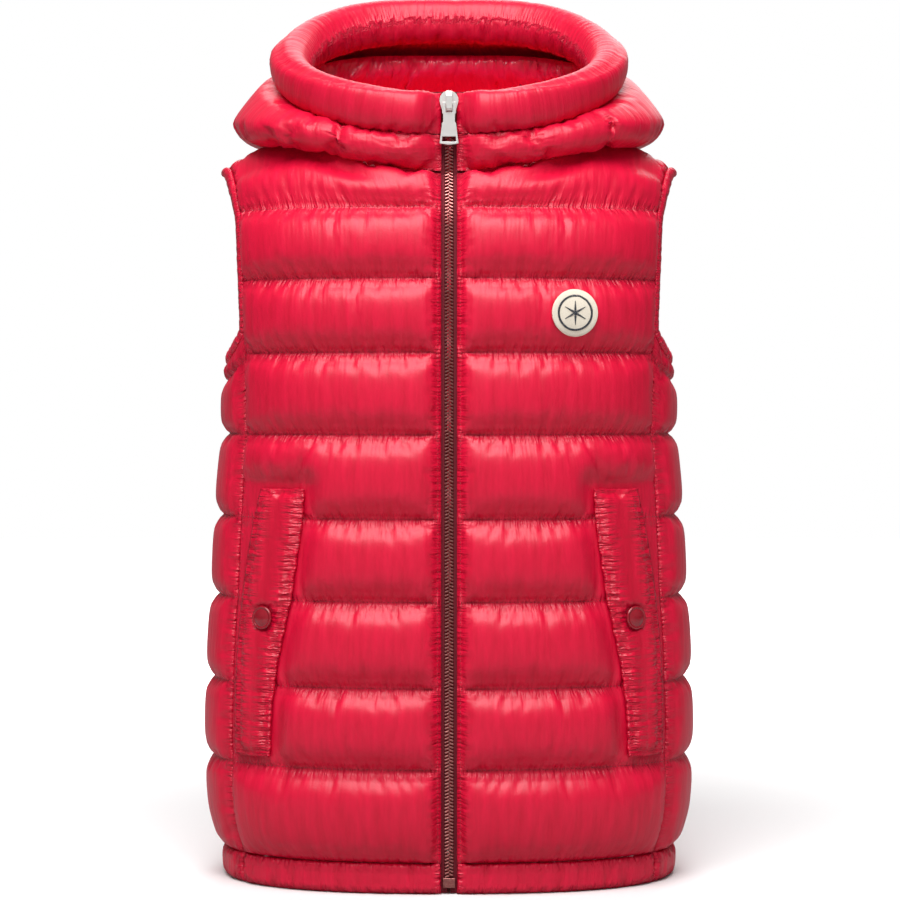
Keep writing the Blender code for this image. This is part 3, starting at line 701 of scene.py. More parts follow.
# %% [markdown]
# Each front is one panel from the hem seam to the neck, quilted into eight channels and a yoke.
# Down fills a channel to about 12 mm. Along the zip the cloth is folded back and stitched about
# 2.5 mm from its edge, and under the pocket flap it is pressed flatter. One front is settled,
# and the other is its mirror image, as both are cut from one folded layer.

# %% Quilted fronts
CELL = 2.1 * MM
SEAM_STANDOFF = 1.7 * MM
CROWN = 12.5 * MM
SIDE_CROWN = 7.5 * MM
YOKE_CROWN = 9.5 * MM
PRESSED_CROWN = 4.0 * MM
ZIP_FOLD = 2.4 * MM
ZIP_EASE = 6 * MM
SIDE_EASE = 9 * MM
FIRST_PUSH = 0.72  # the share of the crown that the cloth starts with, before it settles
CAP_SHARE = 1.12
FREE = 50 * MM
FLAP = [
    # height, inner_edge, outer_edge
    (-384, 108.5, 129.5),
    (-337, 105, 129),
    (-287, 95.5, 125),
    (-250, 90, 120),
    (-218, 87, 113.5),
]
FLAP_STANDOFF = 5.6 * MM
FLAP_MARGIN = 13 * MM
FLAP_CLEAR = 3 * MM
FLAP_CROWN = 4.2 * MM


def flap_press(x, z):
    """How much a pocket flap presses the front under it: 0 away from it, 1 under it."""
    reach = FLAP_MARGIN + FLAP_CLEAR
    ends = ease((z - FLAP[0][0] * MM + reach) / FLAP_MARGIN)
    ends *= ease((FLAP[-1][0] * MM + reach - z) / FLAP_MARGIN)
    return ends * ease((x - read_table(FLAP, z / MM)[0] + reach) / FLAP_MARGIN)


def yoke_crown(across, level, front):
    """The hood lies on the yoke and presses its upper part, except at the front centre."""
    press = ease(((level - YOKE_SEAM) / YOKE_RISE - 0.2) / 0.25)
    if front:
        press *= ease((across - 0.15) / 0.2)
    return lerp(YOKE_CROWN, PRESSED_CROWN, press)


def panel_crown(across, level, front):
    crown = lerp(CROWN, SIDE_CROWN, ease((across - 0.6) / 0.4))
    if front:
        point = panel_point(across, level, True)
        crown = lerp(crown, min(crown, FLAP_CROWN), flap_press(point.x, point.z))
    if level > YOKE_SEAM:
        crown = min(crown, yoke_crown(across, level, front))
    return crown


def make_front():
    bm = new_cloth()
    columns = spaced(lambda part: panel_point(part, -0.25, True), 0, 1, CELL)
    width = columns[-1][1]
    fold = min(columns, key=lambda column: abs(column[1] - ZIP_FOLD))
    breaks = QUILT_SEAMS + [YOKE_TOP]

    def place(column, level):
        across, run = column
        crown = panel_crown(across, level, True)
        inside = min(run - fold[1], width - run)
        rise = channel_height(level) ** 0.5 * ease(max(inside, 0) / ZIP_EASE) ** 0.5
        point = panel_point(across, level, True)
        inner_edge = read_table(FLAP, point.z / MM)[0]
        under_flap = flap_press(point.x, point.z) > 0.9 and point.x > inner_edge + 4 * MM
        held = on_seam(level) or across in (0, 1) or column == fold or under_flap
        push = SEAM_STANDOFF + (crown - SEAM_STANDOFF) * FIRST_PUSH * rise
        edge = min(abs(run - fold[1]), width - run)
        notes = (push, crown * CAP_SHARE, held, run, level, seam_distance(level), edge)
        return lapped(point, across, level, True), notes

    lay_grid(bm, columns, levels_between(breaks, CELL), place)
    return cloth_mesh("front_left_quilt", bm)


front_mesh = make_front()
for piece in add_pair("front", "quilt", front_mesh, shell_nylon):
    wall(piece)
    report(piece)

# %% [markdown]
# The back is one wide panel that comes round both sides to the side seams. Its channels run on
# level with the fronts' channels. Below each armhole it ends in the curve of the underarm, where
# it carries little down and much gathering.

# %% Quilted back
BACK_CELL = 2.6 * MM


def make_back():
    bm = new_cloth()
    middle = spaced(lambda part: panel_point(part, -0.25, False), 0, 1, BACK_CELL)
    flank = spaced(lambda part: flank_point(part, -0.25), 1, -1, BACK_CELL)
    half_width = middle[-1][1]
    breaks = sorted(QUILT_SEAMS + [ARMHOLE_CORNER, YOKE_TOP])
    rows = levels_between(breaks, BACK_CELL)

    def notes_at(level, crown, run, edge, held):
        rise = channel_height(level) ** 0.5 * ease(edge / SIDE_EASE) ** 0.6
        push = SEAM_STANDOFF + (crown - SEAM_STANDOFF) * FIRST_PUSH * rise
        return push, crown * CAP_SHARE, held, run, level, seam_distance(level), edge

    for side in (1, -1):

        def on_middle(column, level):
            across, run = column
            free_edge = half_width - run if level > ARMHOLE_CORNER else FREE
            held = on_seam(level) or (across == 1 and level >= ARMHOLE_CORNER - 1e-6)
            point = lapped(panel_point(across, level, False), across, level, False)
            crown = panel_crown(across, level, False)
            return on_side(point, side), notes_at(
                level, crown, run * side, free_edge, held)

        def on_flank(column, level):
            around, run = column
            point = flank_point(around, level)
            edge = min(flank[-1][1] - run, max(ARMHOLE_CORNER - level, 0.0))
            held = on_seam(level) or around == -1 or level >= ARMHOLE_CORNER - 1e-6
            return on_side(point, side), notes_at(
                level, SIDE_CROWN, (half_width + run) * side, edge, held)

        lay_grid(bm, middle, rows, on_middle)
        lay_grid(bm, flank, [level for level in rows if level <= ARMHOLE_CORNER + 1e-6], on_flank)
    return cloth_mesh("back_quilt", bm)


back = wall(add_piece("back_quilt", make_back(), shell_nylon))
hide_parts("back")
report(back)

# %% [markdown]
# The hem is a narrow band of the same nylon, turned over an elastic and stitched on under the
# last channel. It is gathered into fine upright lines, most of all at the sides.

# %% Hem band
HEM_SEAM = -448.3 * MM
HEM_CELL = 1.7 * MM
HEM_CROWN = 5.5 * MM
HEM_WALL = 1.0 * MM
hem_breaks = [HEM_END, HEM_SEAM]


def hem_notes(run, level, edge, held):
    part = (level - HEM_END) / (HEM_SEAM - HEM_END)
    rise = (1 - abs(2 * part - 1) ** 3) * ease(edge / (5 * MM)) ** 0.5
    push = SEAM_STANDOFF + (HEM_CROWN - SEAM_STANDOFF) * 0.7 * rise
    seam = min(level - HEM_END, HEM_SEAM - level)
    return push, HEM_CROWN, held or part in (0, 1), run, level, max(seam, 0.0), edge


def make_hem_front():
    bm = new_cloth()
    columns = spaced(lambda part: panel_point(part, HEM_SEAM, True), 0, 1, HEM_CELL)
    width = columns[-1][1]

    def place(column, level):
        across, run = column
        edge = min(run, width - run)
        return panel_point(across, level, True), hem_notes(run, level, edge, across in (0, 1))

    lay_grid(bm, columns, levels_between(hem_breaks, HEM_CELL), place)
    return cloth_mesh("hem_front_left_band", bm, slack=0.09, pressure=10.0)


def make_hem_back():
    bm = new_cloth()
    middle = spaced(lambda part: panel_point(part, HEM_SEAM, False), 0, 1, HEM_CELL)
    flank = spaced(lambda part: flank_point(part, HEM_SEAM), 1, -1, HEM_CELL)
    rows = levels_between(hem_breaks, HEM_CELL)
    for side in (1, -1):

        def on_middle(column, level):
            point = panel_point(column[0], level, False)
            return on_side(point, side), hem_notes(
                column[1] * side, level, FREE, False)

        def on_flank(column, level):
            point = flank_point(column[0], level)
            edge = flank[-1][1] - column[1]
            return on_side(point, side), hem_notes(
                (middle[-1][1] + column[1]) * side, level, edge, column[0] == -1)

        lay_grid(bm, middle, rows, on_middle)
        lay_grid(bm, flank, rows, on_flank)
    return cloth_mesh("hem_back_band", bm, slack=0.09, pressure=10.0)


hem_mesh = make_hem_front()
hem_pieces = add_pair("hem_front", "band", hem_mesh, band_nylon)
hem_back = add_piece("hem_back_band", make_hem_back(), band_nylon)
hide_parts("hem_back")
for piece in (*hem_pieces, hem_back):
    wall(piece, HEM_WALL)
    report(piece)

# %% [markdown]
# Both armholes are bound with a narrow elastic roll of the same nylon. It follows the seam line
# down the front edge, round under the arm and up the back edge, where it meets itself at the
# shoulder. The elastic draws the cloth into small cross folds, close together under the arm. A
# tube of rings shapes it, and each ring swells or shrinks a little to make the folds.

# %% Armhole bindings
BINDING_HALF_WIDTH = 3.5 * MM
BINDING_HALF_DEPTH = 2.8 * MM
BINDING_STEP = 0.8 * MM
BINDING_SIDES = 14
BINDING_GROOVES = (math.radians(150), math.radians(210))
SLOW_FOLD = 6.5 * MM
QUICK_FOLD = 2.4 * MM


def resampled(points, step):
    """The same closed line with its points a step apart."""
    loop = points + [points[0]]
    run = [0.0]
    for before, after in zip(loop, loop[1:]):
        run.append(run[-1] + (after - before).length)
    count = round(run[-1] / step)
    made, at = [], 0
    for k in range(count):
        goal = run[-1] * k / count
        while run[at + 1] < goal:
            at += 1
        part = (goal - run[at]) / (run[at + 1] - run[at])
        made.append(loop[at].lerp(loop[at + 1], part))
    return made


def armhole_edge():
    """The armhole's seam line: down the front edge, under the arm and up the back edge."""
    levels = levels_between([ARMHOLE_CORNER, -87 * MM, YOKE_SEAM, YOKE_TOP], 4 * MM)
    front = [panel_point(1, level, True) for level in reversed(levels)]
    under = [flank_point(math.sin(math.radians(angle)), ARMHOLE_CORNER)
             for angle in range(-80, 81, 10)]
    back = [panel_point(1, level, False) for level in levels[:-1]]
    return front + under + back


def smoothed(points, rounds):
    for _ in range(rounds):
        count = len(points)
        points = [(points[k - 1] + points[k] * 2 + points[(k + 1) % count]) / 4
                  for k in range(count)]
    return points


def make_binding():
    bm = new_cloth()
    edge = smoothed(resampled(armhole_edge(), BINDING_STEP), 6)
    middle = sum(edge, Vector()) / len(edge)
    count = len(edge)

    def section(ring):
        point = edge[ring % count]
        along = (edge[(ring + 2) % count] - edge[(ring - 2) % count]).normalized()
        out = Vector((point.x * 0.8, point.y, 0))
        out += Vector((0, 0, 1)) * 0.12 * ease((point.z + 60 * MM) / (50 * MM))
        out = (out - along * out.dot(along)).normalized()
        away = along.cross(out)
        away = away if away.dot(middle - point) > 0 else -away
        under = ease((-85 * MM - point.z) / (45 * MM))
        slow = noise.noise(Vector((ring * BINDING_STEP / SLOW_FOLD, 3.1, 0)))
        quick = noise.noise(Vector((ring * BINDING_STEP / QUICK_FOLD, 7.7, 0)))
        swell = 1 + lerp(0.13, 0.18, under) * slow + lerp(0.09, 0.22, under) * quick
        centre = point + away * (BINDING_HALF_WIDTH - 0.4 * MM) + out * 1.2 * MM
        return centre, away * BINDING_HALF_WIDTH * swell, out * BINDING_HALF_DEPTH * swell

    sections = [section(ring) for ring in range(count)]

    def place(ring, corner):
        centre, away, out = sections[ring % count]
        angle = 2 * math.pi * corner / BINDING_SIDES
        across, depth = math.cos(angle), math.sin(angle)
        point = centre + away * across + out * depth
        to_groove = min(abs(angle - groove) for groove in BINDING_GROOVES)
        notes = (0, 0, 0, corner * 1.4 * MM, ring * BINDING_STEP, 9 * MM, to_groove * 3 * MM)
        return point, notes

    lay_grid(bm, list(range(count + 1)), list(range(BINDING_SIDES + 1)), place)
    bmesh.ops.remove_doubles(bm, verts=bm.verts, dist=0.001 * MM)
    face_outward(bm)
    write_map(bm)
    return made_mesh("armhole_binding_left_roll", bm)


for piece in add_pair("armhole_binding", "roll", make_binding(), band_nylon):
    report(piece)

# %% [markdown]
# The hood lies back on the shoulders. Its form is set by two seam lines: the neck seam below and
# the seam under the rim above. A table gives, for each turn from the zip round to the back, the
# size of the rim's section and how far the cloth swings out between the two seams.

# %% The form of the hood
RIM_HALF_WIDTH = 86.5 * MM
RIM_FRONT = 68 * MM
RIM_BACK = 68 * MM
RIM_LOW = 16 * MM
RIM_HIGH = 95 * MM
RIM_BACK_ROUNDNESS = 2.8
RIM_END_DEPTH = 2.2 * MM
ZIP_PINCH = 16 * MM
HOOD_CROWN = 9 * MM
UNDERSIDE = 3.0 * MM
HOOD = [
    # turn, rim_half_depth, rim_half_height, seam_angle, lift, low_out, low_rise, high_out, high_drop
    (0, 8, 13, -85, 2.4, 1, 8, 1, 8),
    (30, 8.5, 14, -80, 5.2, 13, 6, 10, 8),
    (60, 10, 14, -70, 7.5, 42, -4, 30, 22),
    (90, 11.5, 14, -60, 7, 63, -24, 33, 36),
    (120, 11, 14, -60, 7, 76, -34, 46, 46),
    (150, 10, 15, -60, 7, 86, -46, 70, 62),
    (180, 10, 15, -60, 7, 92, -54, 86, 74),
]


def rim_line(turn):
    """The inner line of the rim, from the front centre (0) round the left side to the back (180)."""
    across = math.sin(turn)
    if turn > math.pi / 2:
        across = max(across, 0.0) ** (2 / RIM_BACK_ROUNDNESS)
    along = math.cos(turn)
    x = RIM_HALF_WIDTH * across + ZIP_EDGE * (1 + along) / 2
    y = -RIM_FRONT * along if along > 0 else -RIM_BACK * along
    return Vector((x, y, lerp(RIM_LOW, RIM_HIGH, (1 - along) / 2)))


def hood_row(turn):
    values = read_table(HOOD, math.degrees(turn), flat_ends=True)
    values[2] = math.radians(values[2] / MM)
    return values


def outward(turn):
    """The level direction out of the hood."""
    point = rim_line(turn)
    return Vector((point.x - ZIP_EDGE * (1 + math.cos(turn)) / 2, point.y, 0)).normalized()


def rim_section(turn):
    """The centre, two half sizes and two directions of the rim's section."""
    half_depth, half_height = hood_row(turn)[:2]
    inner = rim_line(turn)
    if turn < math.pi / 2:
        half_depth = lerp(RIM_END_DEPTH, half_depth, ease((inner.x - ZIP_EDGE) / ZIP_PINCH))
    step = math.radians(1)
    along = rim_line(min(turn + step, math.pi)) - rim_line(max(turn - step, 0))
    if turn < step or turn > math.pi - step:
        along = Vector((1, 0, 0)) if turn < step else Vector((-1, 0, 0))
    along.normalize()
    out = outward(turn)
    out = (out - along * out.dot(along)).normalized()
    up = out.cross(along)
    up = up if up.z > 0 else -up
    return inner + out * half_depth, out * half_depth, up * half_height


def rim_point(turn, angle, clear=0.0):
    centre, out, up = rim_section(turn)
    offset = out * math.cos(angle) + up * math.sin(angle)
    return centre + offset + offset.normalized() * clear


def hood_point(turn, part):
    """The inner side of the hood bag: 0 at the neck seam, 1 at the rim seam."""
    seam_angle, lift, low_out, low_rise, high_out, high_drop = hood_row(turn)[2:]
    out = outward(turn)
    up = Vector((0, 0, 1))
    neck = neck_point(turn) + up * lift
    rim = rim_point(turn, seam_angle, clear=0.6 * MM)
    low = neck + out * low_out + up * low_rise
    high = rim + out * high_out - up * high_drop
    rest = 1 - part
    return (
        neck * rest**3 + low * 3 * rest**2 * part + high * 3 * rest * part**2 + rim * part**3
    )


def hood_span(turn):
    """About how long the cloth is from the neck seam to the rim seam."""
    return (rim_point(turn, -1.05) - neck_point(turn)).length + 40 * MM


def both_sides(columns):
    """Columns from one zip edge round the back to the other: (side, turn, run, flat place)."""
    back = columns[-1][1]
    right = [(-1, turn, run, run - back) for turn, run in columns[:-1]]
    left = [(1, turn, run, back - run) for turn, run in columns]
    return right + left[::-1]


print("hood rim from", [round(v / MM) for v in rim_line(0)], "to",
      [round(v / MM) for v in rim_line(math.pi)], "mm")

# %% [markdown]
# The hood's shell is one loosely filled layer without quilting, so it falls into soft folds. It
# is held at the neck seam, at the rim seam and along the zip. More slack than in the body and
# only light pressure give the crumples. Underneath, where it rests on the shoulders, it stays
# thin.

# %% Hood shell
HOOD_CELL = 3.0 * MM


def hood_cap(turn, part):
    crown = lerp(2.0 * MM, HOOD_CROWN, ease(turn / math.radians(12)))
    under = lerp(crown, UNDERSIDE, ease((turn - math.radians(25)) / math.radians(50)))
    crown = lerp(under, crown, ease((part - 0.12) / 0.36))
    return lerp(2.0 * MM, crown, ease(part / 0.3) * ease((1 - part) / 0.15))


def make_hood_shell():
    bm = new_cloth()
    columns = spaced(lambda turn: hood_point(turn, 0.7), 0, math.pi, HOOD_CELL)
    lengths = [run for _, run in spaced(lambda part: hood_point(2.2, part), 0, 1, HOOD_CELL)]
    rows = [run / lengths[-1] for run in lengths]

    def place(column, part):
        side, turn, run, flat = column
        point = hood_point(turn, part)
        span = hood_span(turn)
        seam = min(part, 1 - part) * span
        held = part in (0, 1) or turn == 0
        cap = hood_cap(turn, part)
        notes = (1.2 * MM + 0.5 * max(cap - 2 * MM, 0), cap * 1.15, held, flat, part * span,
                 seam, run)
        return on_side(point, side), notes

    lay_grid(bm, both_sides(columns), rows, place)
    return cloth_mesh("hood_shell_cloth", bm, slack=0.06, pressure=9.0, jitter=0.15 * MM)


hood_shell = wall(add_piece("hood_shell_cloth", make_hood_shell(), hood_nylon))
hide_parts("hood_shell")
report(hood_shell)

# %% [markdown]
# The rim is a filled tube round the hood's mouth. It is sewn along its inner line and along the
# seam below it, and the outer side between the two is blown up tight. The cloth gathers at both
# seams into short creases that point across the tube. Its two ends are closed beside the zip.

# %% Hood rim
RIM_CELL = 2.2 * MM
RIM_OVER, RIM_UNDER = 26, 10


def make_rim():
    bm = new_cloth()
    columns = spaced(lambda turn: rim_point(turn, 0), 0, math.pi, RIM_CELL)
    corners = [(0, k / RIM_OVER) for k in range(RIM_OVER)]
    corners += [(1, k / RIM_UNDER) for k in range(RIM_UNDER + 1)]

    def place(column, corner):
        side, turn, run, flat = column
        stretch, part = corner
        seam_angle = hood_row(turn)[2]
        if stretch == 0:
            angle = lerp(math.pi, seam_angle, part)
            seam = min(part, 1 - part) * 48 * MM
        else:
            angle = lerp(seam_angle, -math.pi, part)
            seam = min(part, 1 - part) * 20 * MM
        point = rim_point(turn, angle)
        held = part in (0, 1) or turn == 0
        rise = ease(seam / (9 * MM)) * ease(run / (14 * MM))
        notes = (0.6 * MM * rise, lerp(0.9, 3.2, rise) * MM, held, flat,
                 (stretch + part) * 40 * MM, seam, run)
        return on_side(point, side), notes

    lay_grid(bm, both_sides(columns), corners, place)
    bmesh.ops.remove_doubles(bm, verts=bm.verts, dist=0.001 * MM)
    bmesh.ops.holes_fill(bm, edges=bm.edges, sides=0)
    face_outward(bm)
    return cloth_mesh("hood_rim_tube", bm, slack=0.09, pressure=8.0, floor=-1.2 * MM, tube=True)


hood_rim = add_piece("hood_rim_tube", make_rim(), hood_nylon)
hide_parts("hood_rim")
report(hood_rim)

# %% [markdown]
# Inside the hood hangs a lining of thin glossy nylon. It is cut larger than the shell and only
# caught at the neck and under the rim, so it crumples. The same cloth solver makes the
# crumples: no pressure, much slack and a stiffer bend for larger folds.

# %% Hood lining
LINING_CLEAR = 2.6 * MM
LINING_REACH = 9 * MM
LINING_CELL = 2.8 * MM
LINING_WALL = 0.3 * MM


def make_lining():
    bm = new_cloth()
    columns = spaced(lambda turn: hood_point(turn, 0.7), math.radians(3), math.pi, LINING_CELL)
    rows = [0.97 * run for run in even(64)]

    def place(column, part):
        side, turn, run, flat = column
        point = hood_point(turn, part)
        span = hood_span(turn)
        held = part in (rows[0], rows[-1]) or turn == columns[0][0]
        notes = (-LINING_CLEAR, 0, held, flat, part * span, 9 * MM, 9 * MM)
        return on_side(point, side), notes

    lay_grid(bm, both_sides(columns), rows, place)
    bm.normal_update()
    area = sum(face.calc_area() for face in bm.faces)
    return cloth_mesh("hood_lining_cloth", bm, slack=0.14, pressure=-1.5, jitter=0.5 * MM,
                      frames=26, bending=0.1, inside=LINING_REACH), area


lining_mesh, covered = make_lining()
lining = wall(add_piece("hood_lining_cloth", lining_mesh, lining_nylon),
              LINING_WALL)
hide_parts("hood_lining")
report(lining)

# %% [markdown]
# Each pocket is closed by a slanted flap strip, a flat double layer with little filling. Two
# rows of stitches run along both long edges and gather them. The strip is pressed flat where the
# snap holds it.

# %% Pocket flaps
FLAP_CELL = 1.3 * MM
FLAP_STITCH = 3.0 * MM
FLAP_COLUMNS = 20
FLAP_WALL = 1.3 * MM
SNAP_PLACE = (111 * MM, -298 * MM)
SNAP_REACH = 15 * MM


def outer_point(x, z, standoff):
    """A point on a front, moved out from its inner side."""
    step = 1 * MM
    here = Vector((x, torso_y(x, z, True), z))
    side = Vector((x + step, torso_y(x + step, z, True), z)) - here
    rise = Vector((x, torso_y(x, z + 8 * step, True), z + 8 * step)) - here
    return here + side.cross(rise).normalized() * standoff


def make_flap():
    bm = new_cloth()
    low, high = FLAP[0][0] * MM, FLAP[-1][0] * MM
    heights = levels_between([low, low + FLAP_STITCH, high - FLAP_STITCH, high], FLAP_CELL)

    def place(part, z):
        inner_edge, outer_edge = read_table(FLAP, z / MM)
        width = outer_edge - inner_edge
        x = lerp(inner_edge, outer_edge, part)
        edge = min(part, 1 - part) * width
        stitch = abs(edge - FLAP_STITCH)
        ends = min(z - low, high - z)
        near_snap = ease(1 - (Vector((x, z)) - Vector(SNAP_PLACE)).length / SNAP_REACH)
        stitched = stitch < width / FLAP_COLUMNS / 2 or abs(ends - FLAP_STITCH) < FLAP_CELL / 3
        held = stitched or near_snap > 0.5 or min(edge, ends) < 0.01 * MM
        rise = ease((edge - FLAP_STITCH) / (5 * MM)) * ease((ends - FLAP_STITCH) / (6 * MM))
        push = (1.6 + 1.6 * rise * (1 - near_snap)) * MM
        notes = (push, 4.4 * MM, held, x, z, 20 * MM, stitch)
        return outer_point(x, z, FLAP_STANDOFF - 0.4 * MM), notes

    lay_grid(bm, even(FLAP_COLUMNS), heights, place)
    return cloth_mesh("pocket_flap_left_strip", bm, slack=0.07, pressure=9.0, jitter=0.1 * MM,
                      floor=1.2 * MM)


for piece in add_pair("pocket_flap", "strip", make_flap(), flap_nylon):
    wall(piece, FLAP_WALL)
    report(piece)

# %% [markdown]
# The quilting thread is the same red as the cloth and shows as a row of small dashes sunk in
# each seam. Each stitch is a tiny stretched ball with a few faces, because there are thousands
# of them. Each is laid on the nearest point of the settled cloth.

# %% Thread
thread_material, thread_shader = new_material("polyester sewing thread", Roughness=0.6,
                                              Sheen_Weight=0.3)
thread_shader.inputs["Base Color"].default_value = linear("A80A26")
STITCH = 2.6 * MM
STITCH_LENGTH = 1.7 * MM
STITCH_RADIUS = 0.28 * MM


def sew(bm, tree, points, lift=0.1 * MM, length=STITCH_LENGTH, radius=STITCH_RADIUS):
    """A stitch at the middle of each pair of points, laid on the nearest cloth."""
    for before, after in zip(points, points[1:]):
        middle = (before + after) / 2
        along = (after - before).normalized()
        spot, normal, *_ = tree.find_nearest(middle, 12 * MM)
        if spot is None:
            continue
        turn = along.to_track_quat("X", "Z").to_matrix().to_4x4()
        size = Matrix.Diagonal((length / 2, radius, radius, 1))
        bmesh.ops.create_icosphere(bm, subdivisions=1, radius=1.0, matrix=Matrix.Translation(
            spot + normal * lift) @ turn @ size)


def tree_of(mesh):
    bm = bmesh.new()
    bm.from_mesh(mesh)
    tree = BVHTree.FromBMesh(bm)
    bm.free()
    return tree


def spaced_line(place, low, high, step):
    return [place(value) for value, _ in spaced(place, low, high, step)]


def finish_stitches(name, bm, material=thread_material):
    piece = add_piece(name, made_mesh(name, bm), material)
    report(piece)
    return piece


front_tree = tree_of(front_mesh)
bm = bmesh.new()
for seam in QUILT_SEAMS[1:]:
    line = spaced_line(lambda part: panel_point(part, seam, True), 0.03, 0.99, STITCH)
    sew(bm, front_tree, line)
FRONT_WIDTH = 137 * MM
FOLD_PLACE = ZIP_FOLD / FRONT_WIDTH * 0.98
ZIP_STITCH_TOP = -28 * MM
zip_line = spaced_line(lambda level: panel_point(FOLD_PLACE, level, True), HEM_SEAM,
                       ZIP_STITCH_TOP, STITCH)
sew(bm, front_tree, zip_line)
other = bm.copy()
mirror(other)
finish_stitches("front_left_stitches", bm)
finish_stitches("front_right_stitches", other)

back_tree = tree_of(back.data)
bm = bmesh.new()
for seam in QUILT_SEAMS[1:]:
    for side in (1, -1):
        line = spaced_line(lambda part: on_side(panel_point(part, seam, False), side), 0, 1,
                           STITCH)
        if seam < ARMHOLE_CORNER:
            line += spaced_line(lambda part: on_side(flank_point(part, seam), side), 1, -1,
                                STITCH)
        sew(bm, back_tree, line)
finish_stitches("back_stitches", bm)

# %% [markdown]
# The zip's teeth are stamped from brass and coated red-brown. Each is a small block, gripped on
# the tape's edge and meshed with the other row, half a pitch apart. One tooth is made from a
# cube with bevelled edges, and copies of its mesh are set up the closed zip.

# %% Zip teeth
coated_metal, *_ = mottled("coated brass teeth", "7C2A34", "C28C84", 900.0, Roughness=0.34,
                           Metallic=1.0)
TEETH_PITCH = 2.15 * MM
TOOTH_SIZE = (3.1 * MM, 1.7 * MM, 1.15 * MM)
SLIDER_BOTTOM = 16.8 * MM
ZIP_COLLAR_DEPTH = 67 * MM


def zip_y(z):
    """How far forward the zip's front edges lie, on their inner side."""
    low = torso_y(ZIP_EDGE, NECK_FRONT, True)
    if z <= NECK_FRONT:
        return torso_y(ZIP_EDGE, z, True)
    return lerp(low, -ZIP_COLLAR_DEPTH, ease(-z / NECK_FRONT + 1))


def make_tooth():
    tooth = bmesh.new()
    bmesh.ops.create_cube(tooth, size=1.0, matrix=Matrix.Diagonal((*TOOTH_SIZE, 1)))
    bmesh.ops.bevel(tooth, geom=tooth.edges, offset=0.28 * MM, offset_type="OFFSET",
                    affect="EDGES", segments=1, profile=0.5, material=-1)
    return made_mesh("one tooth", tooth, smooth=False)


one_tooth = make_tooth()
bm = bmesh.new()
low_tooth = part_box("zip_chain")[0][2]
count = int((SLIDER_BOTTOM - low_tooth) / TEETH_PITCH)
for k in range(count):
    for side in (1, -1):
        z = low_tooth + (k + 0.5 + side / 4) * TEETH_PITCH
        slope = math.atan2(zip_y(z + 2 * MM) - zip_y(z - 2 * MM), 4 * MM)
        turn = Matrix.Rotation(-slope, 4, "X") @ Matrix.Rotation(side * math.radians(20), 4, "Y")
        spot = Matrix.Translation((side * 1.2 * MM, zip_y(z) - 0.45 * MM, z))
        first = len(bm.verts)
        bm.from_mesh(one_tooth)
        bm.verts.ensure_lookup_table()
        bmesh.ops.transform(bm, matrix=spot @ turn, verts=bm.verts[first:])
teeth = finish_stitches("zip_teeth", bm, material=coated_metal)
teeth.data.shade_flat()
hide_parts("zip_chain")

# %% [markdown]
# The slider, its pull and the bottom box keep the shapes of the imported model. Polished, plated
# metal is never sharp, so each gets a merged copy with narrow bevelled edges that catch the
# light.

# %% Slider, pull and box
nickel, *_ = mottled("polished nickel plating", "E8E7E3", "FCFBF8", 260.0, 3.0, Roughness=0.2,
                     Metallic=0.5)


def soft_copy(node, name, body, material, width=0.25 * MM):
    """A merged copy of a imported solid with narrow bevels."""
    bm = bmesh.new()
    bm.from_mesh(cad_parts[node].data)
    bmesh.ops.remove_doubles(bm, verts=bm.verts, dist=0.005 * MM)
    bmesh.ops.recalc_face_normals(bm, faces=bm.faces)
    bmesh.ops.dissolve_limit(bm, angle_limit=math.radians(2), verts=bm.verts, edges=bm.edges)
    piece = add_piece(name, made_mesh(name, bm, smooth=False), material, body)
    bevel = piece.modifiers.new("worn edges", "BEVEL")
    bevel.width = width
    bevel.segments = 2
    bevel.limit_method = "ANGLE"
    bevel.angle_limit = math.radians(35)
    bevel.harden_normals = True
    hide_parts(node)
    report(piece)


soft_copy("zip_slider", "zip_slider_plated", "vest", nickel)
soft_copy("zip_pull", "zip_pull_plated", "pull", nickel)
soft_copy("zip_box", "zip_box_coated", "vest", coated_metal, 0.4 * MM)

# %% [markdown]
# The zip's tapes are woven polyester, ribbed along their length. Only a narrow strip shows
# beside the teeth. The solid tapes have the right shape, so they only get their cloth.

# %% Zip tape
tape_material, tape_shader = new_material("woven polyester tape", Roughness=0.85, Sheen_Weight=0.2)
ribs = add_node(tape_material, "TexWave", values={"Scale": 320.0, "Distortion": 0.6},
                bands_direction="X")
join(tape_material, add_node(tape_material, "TexCoord").outputs["Object"], ribs, "Vector")
tint(tape_material, tape_shader, ribs.outputs[0], "5A0616", "8A0F26")
relief(tape_material, tape_shader, ribs.outputs[0], 0.4, 0.3 * MM)
for node in ("zip_tape_left", "zip_tape_right"):
    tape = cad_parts[node]
    tape.data.materials.clear()
    tape.data.materials.append(tape_material)

# %% [markdown]
# A snap's cap is a domed metal button under glossy red enamel, with a raised rim round a
# shallow groove. Half of its section is spun about its own axis, and its edges are rounded by
# a subdivision. It is plain: real ones often carry a maker's mark.

# %% Snap caps
enamel, *_ = mottled("glossy red enamel", "86041A", "A20822", 500.0, Roughness=0.2,
                     Coat_Weight=0.4, Coat_Roughness=0.05, IOR=1.52)
SNAP_SECTION = [
    # radius, height
    (0, 2.7),
    (2.4, 2.55),
    (4.4, 2.1),
    (5.3, 1.5),
    (5.8, 1.5),
    (6.3, 2.0),
    (6.9, 1.9),
    (7.4, 1.2),
    (7.4, 0.4),
    (6.9, 0),
    (0, 0),
]


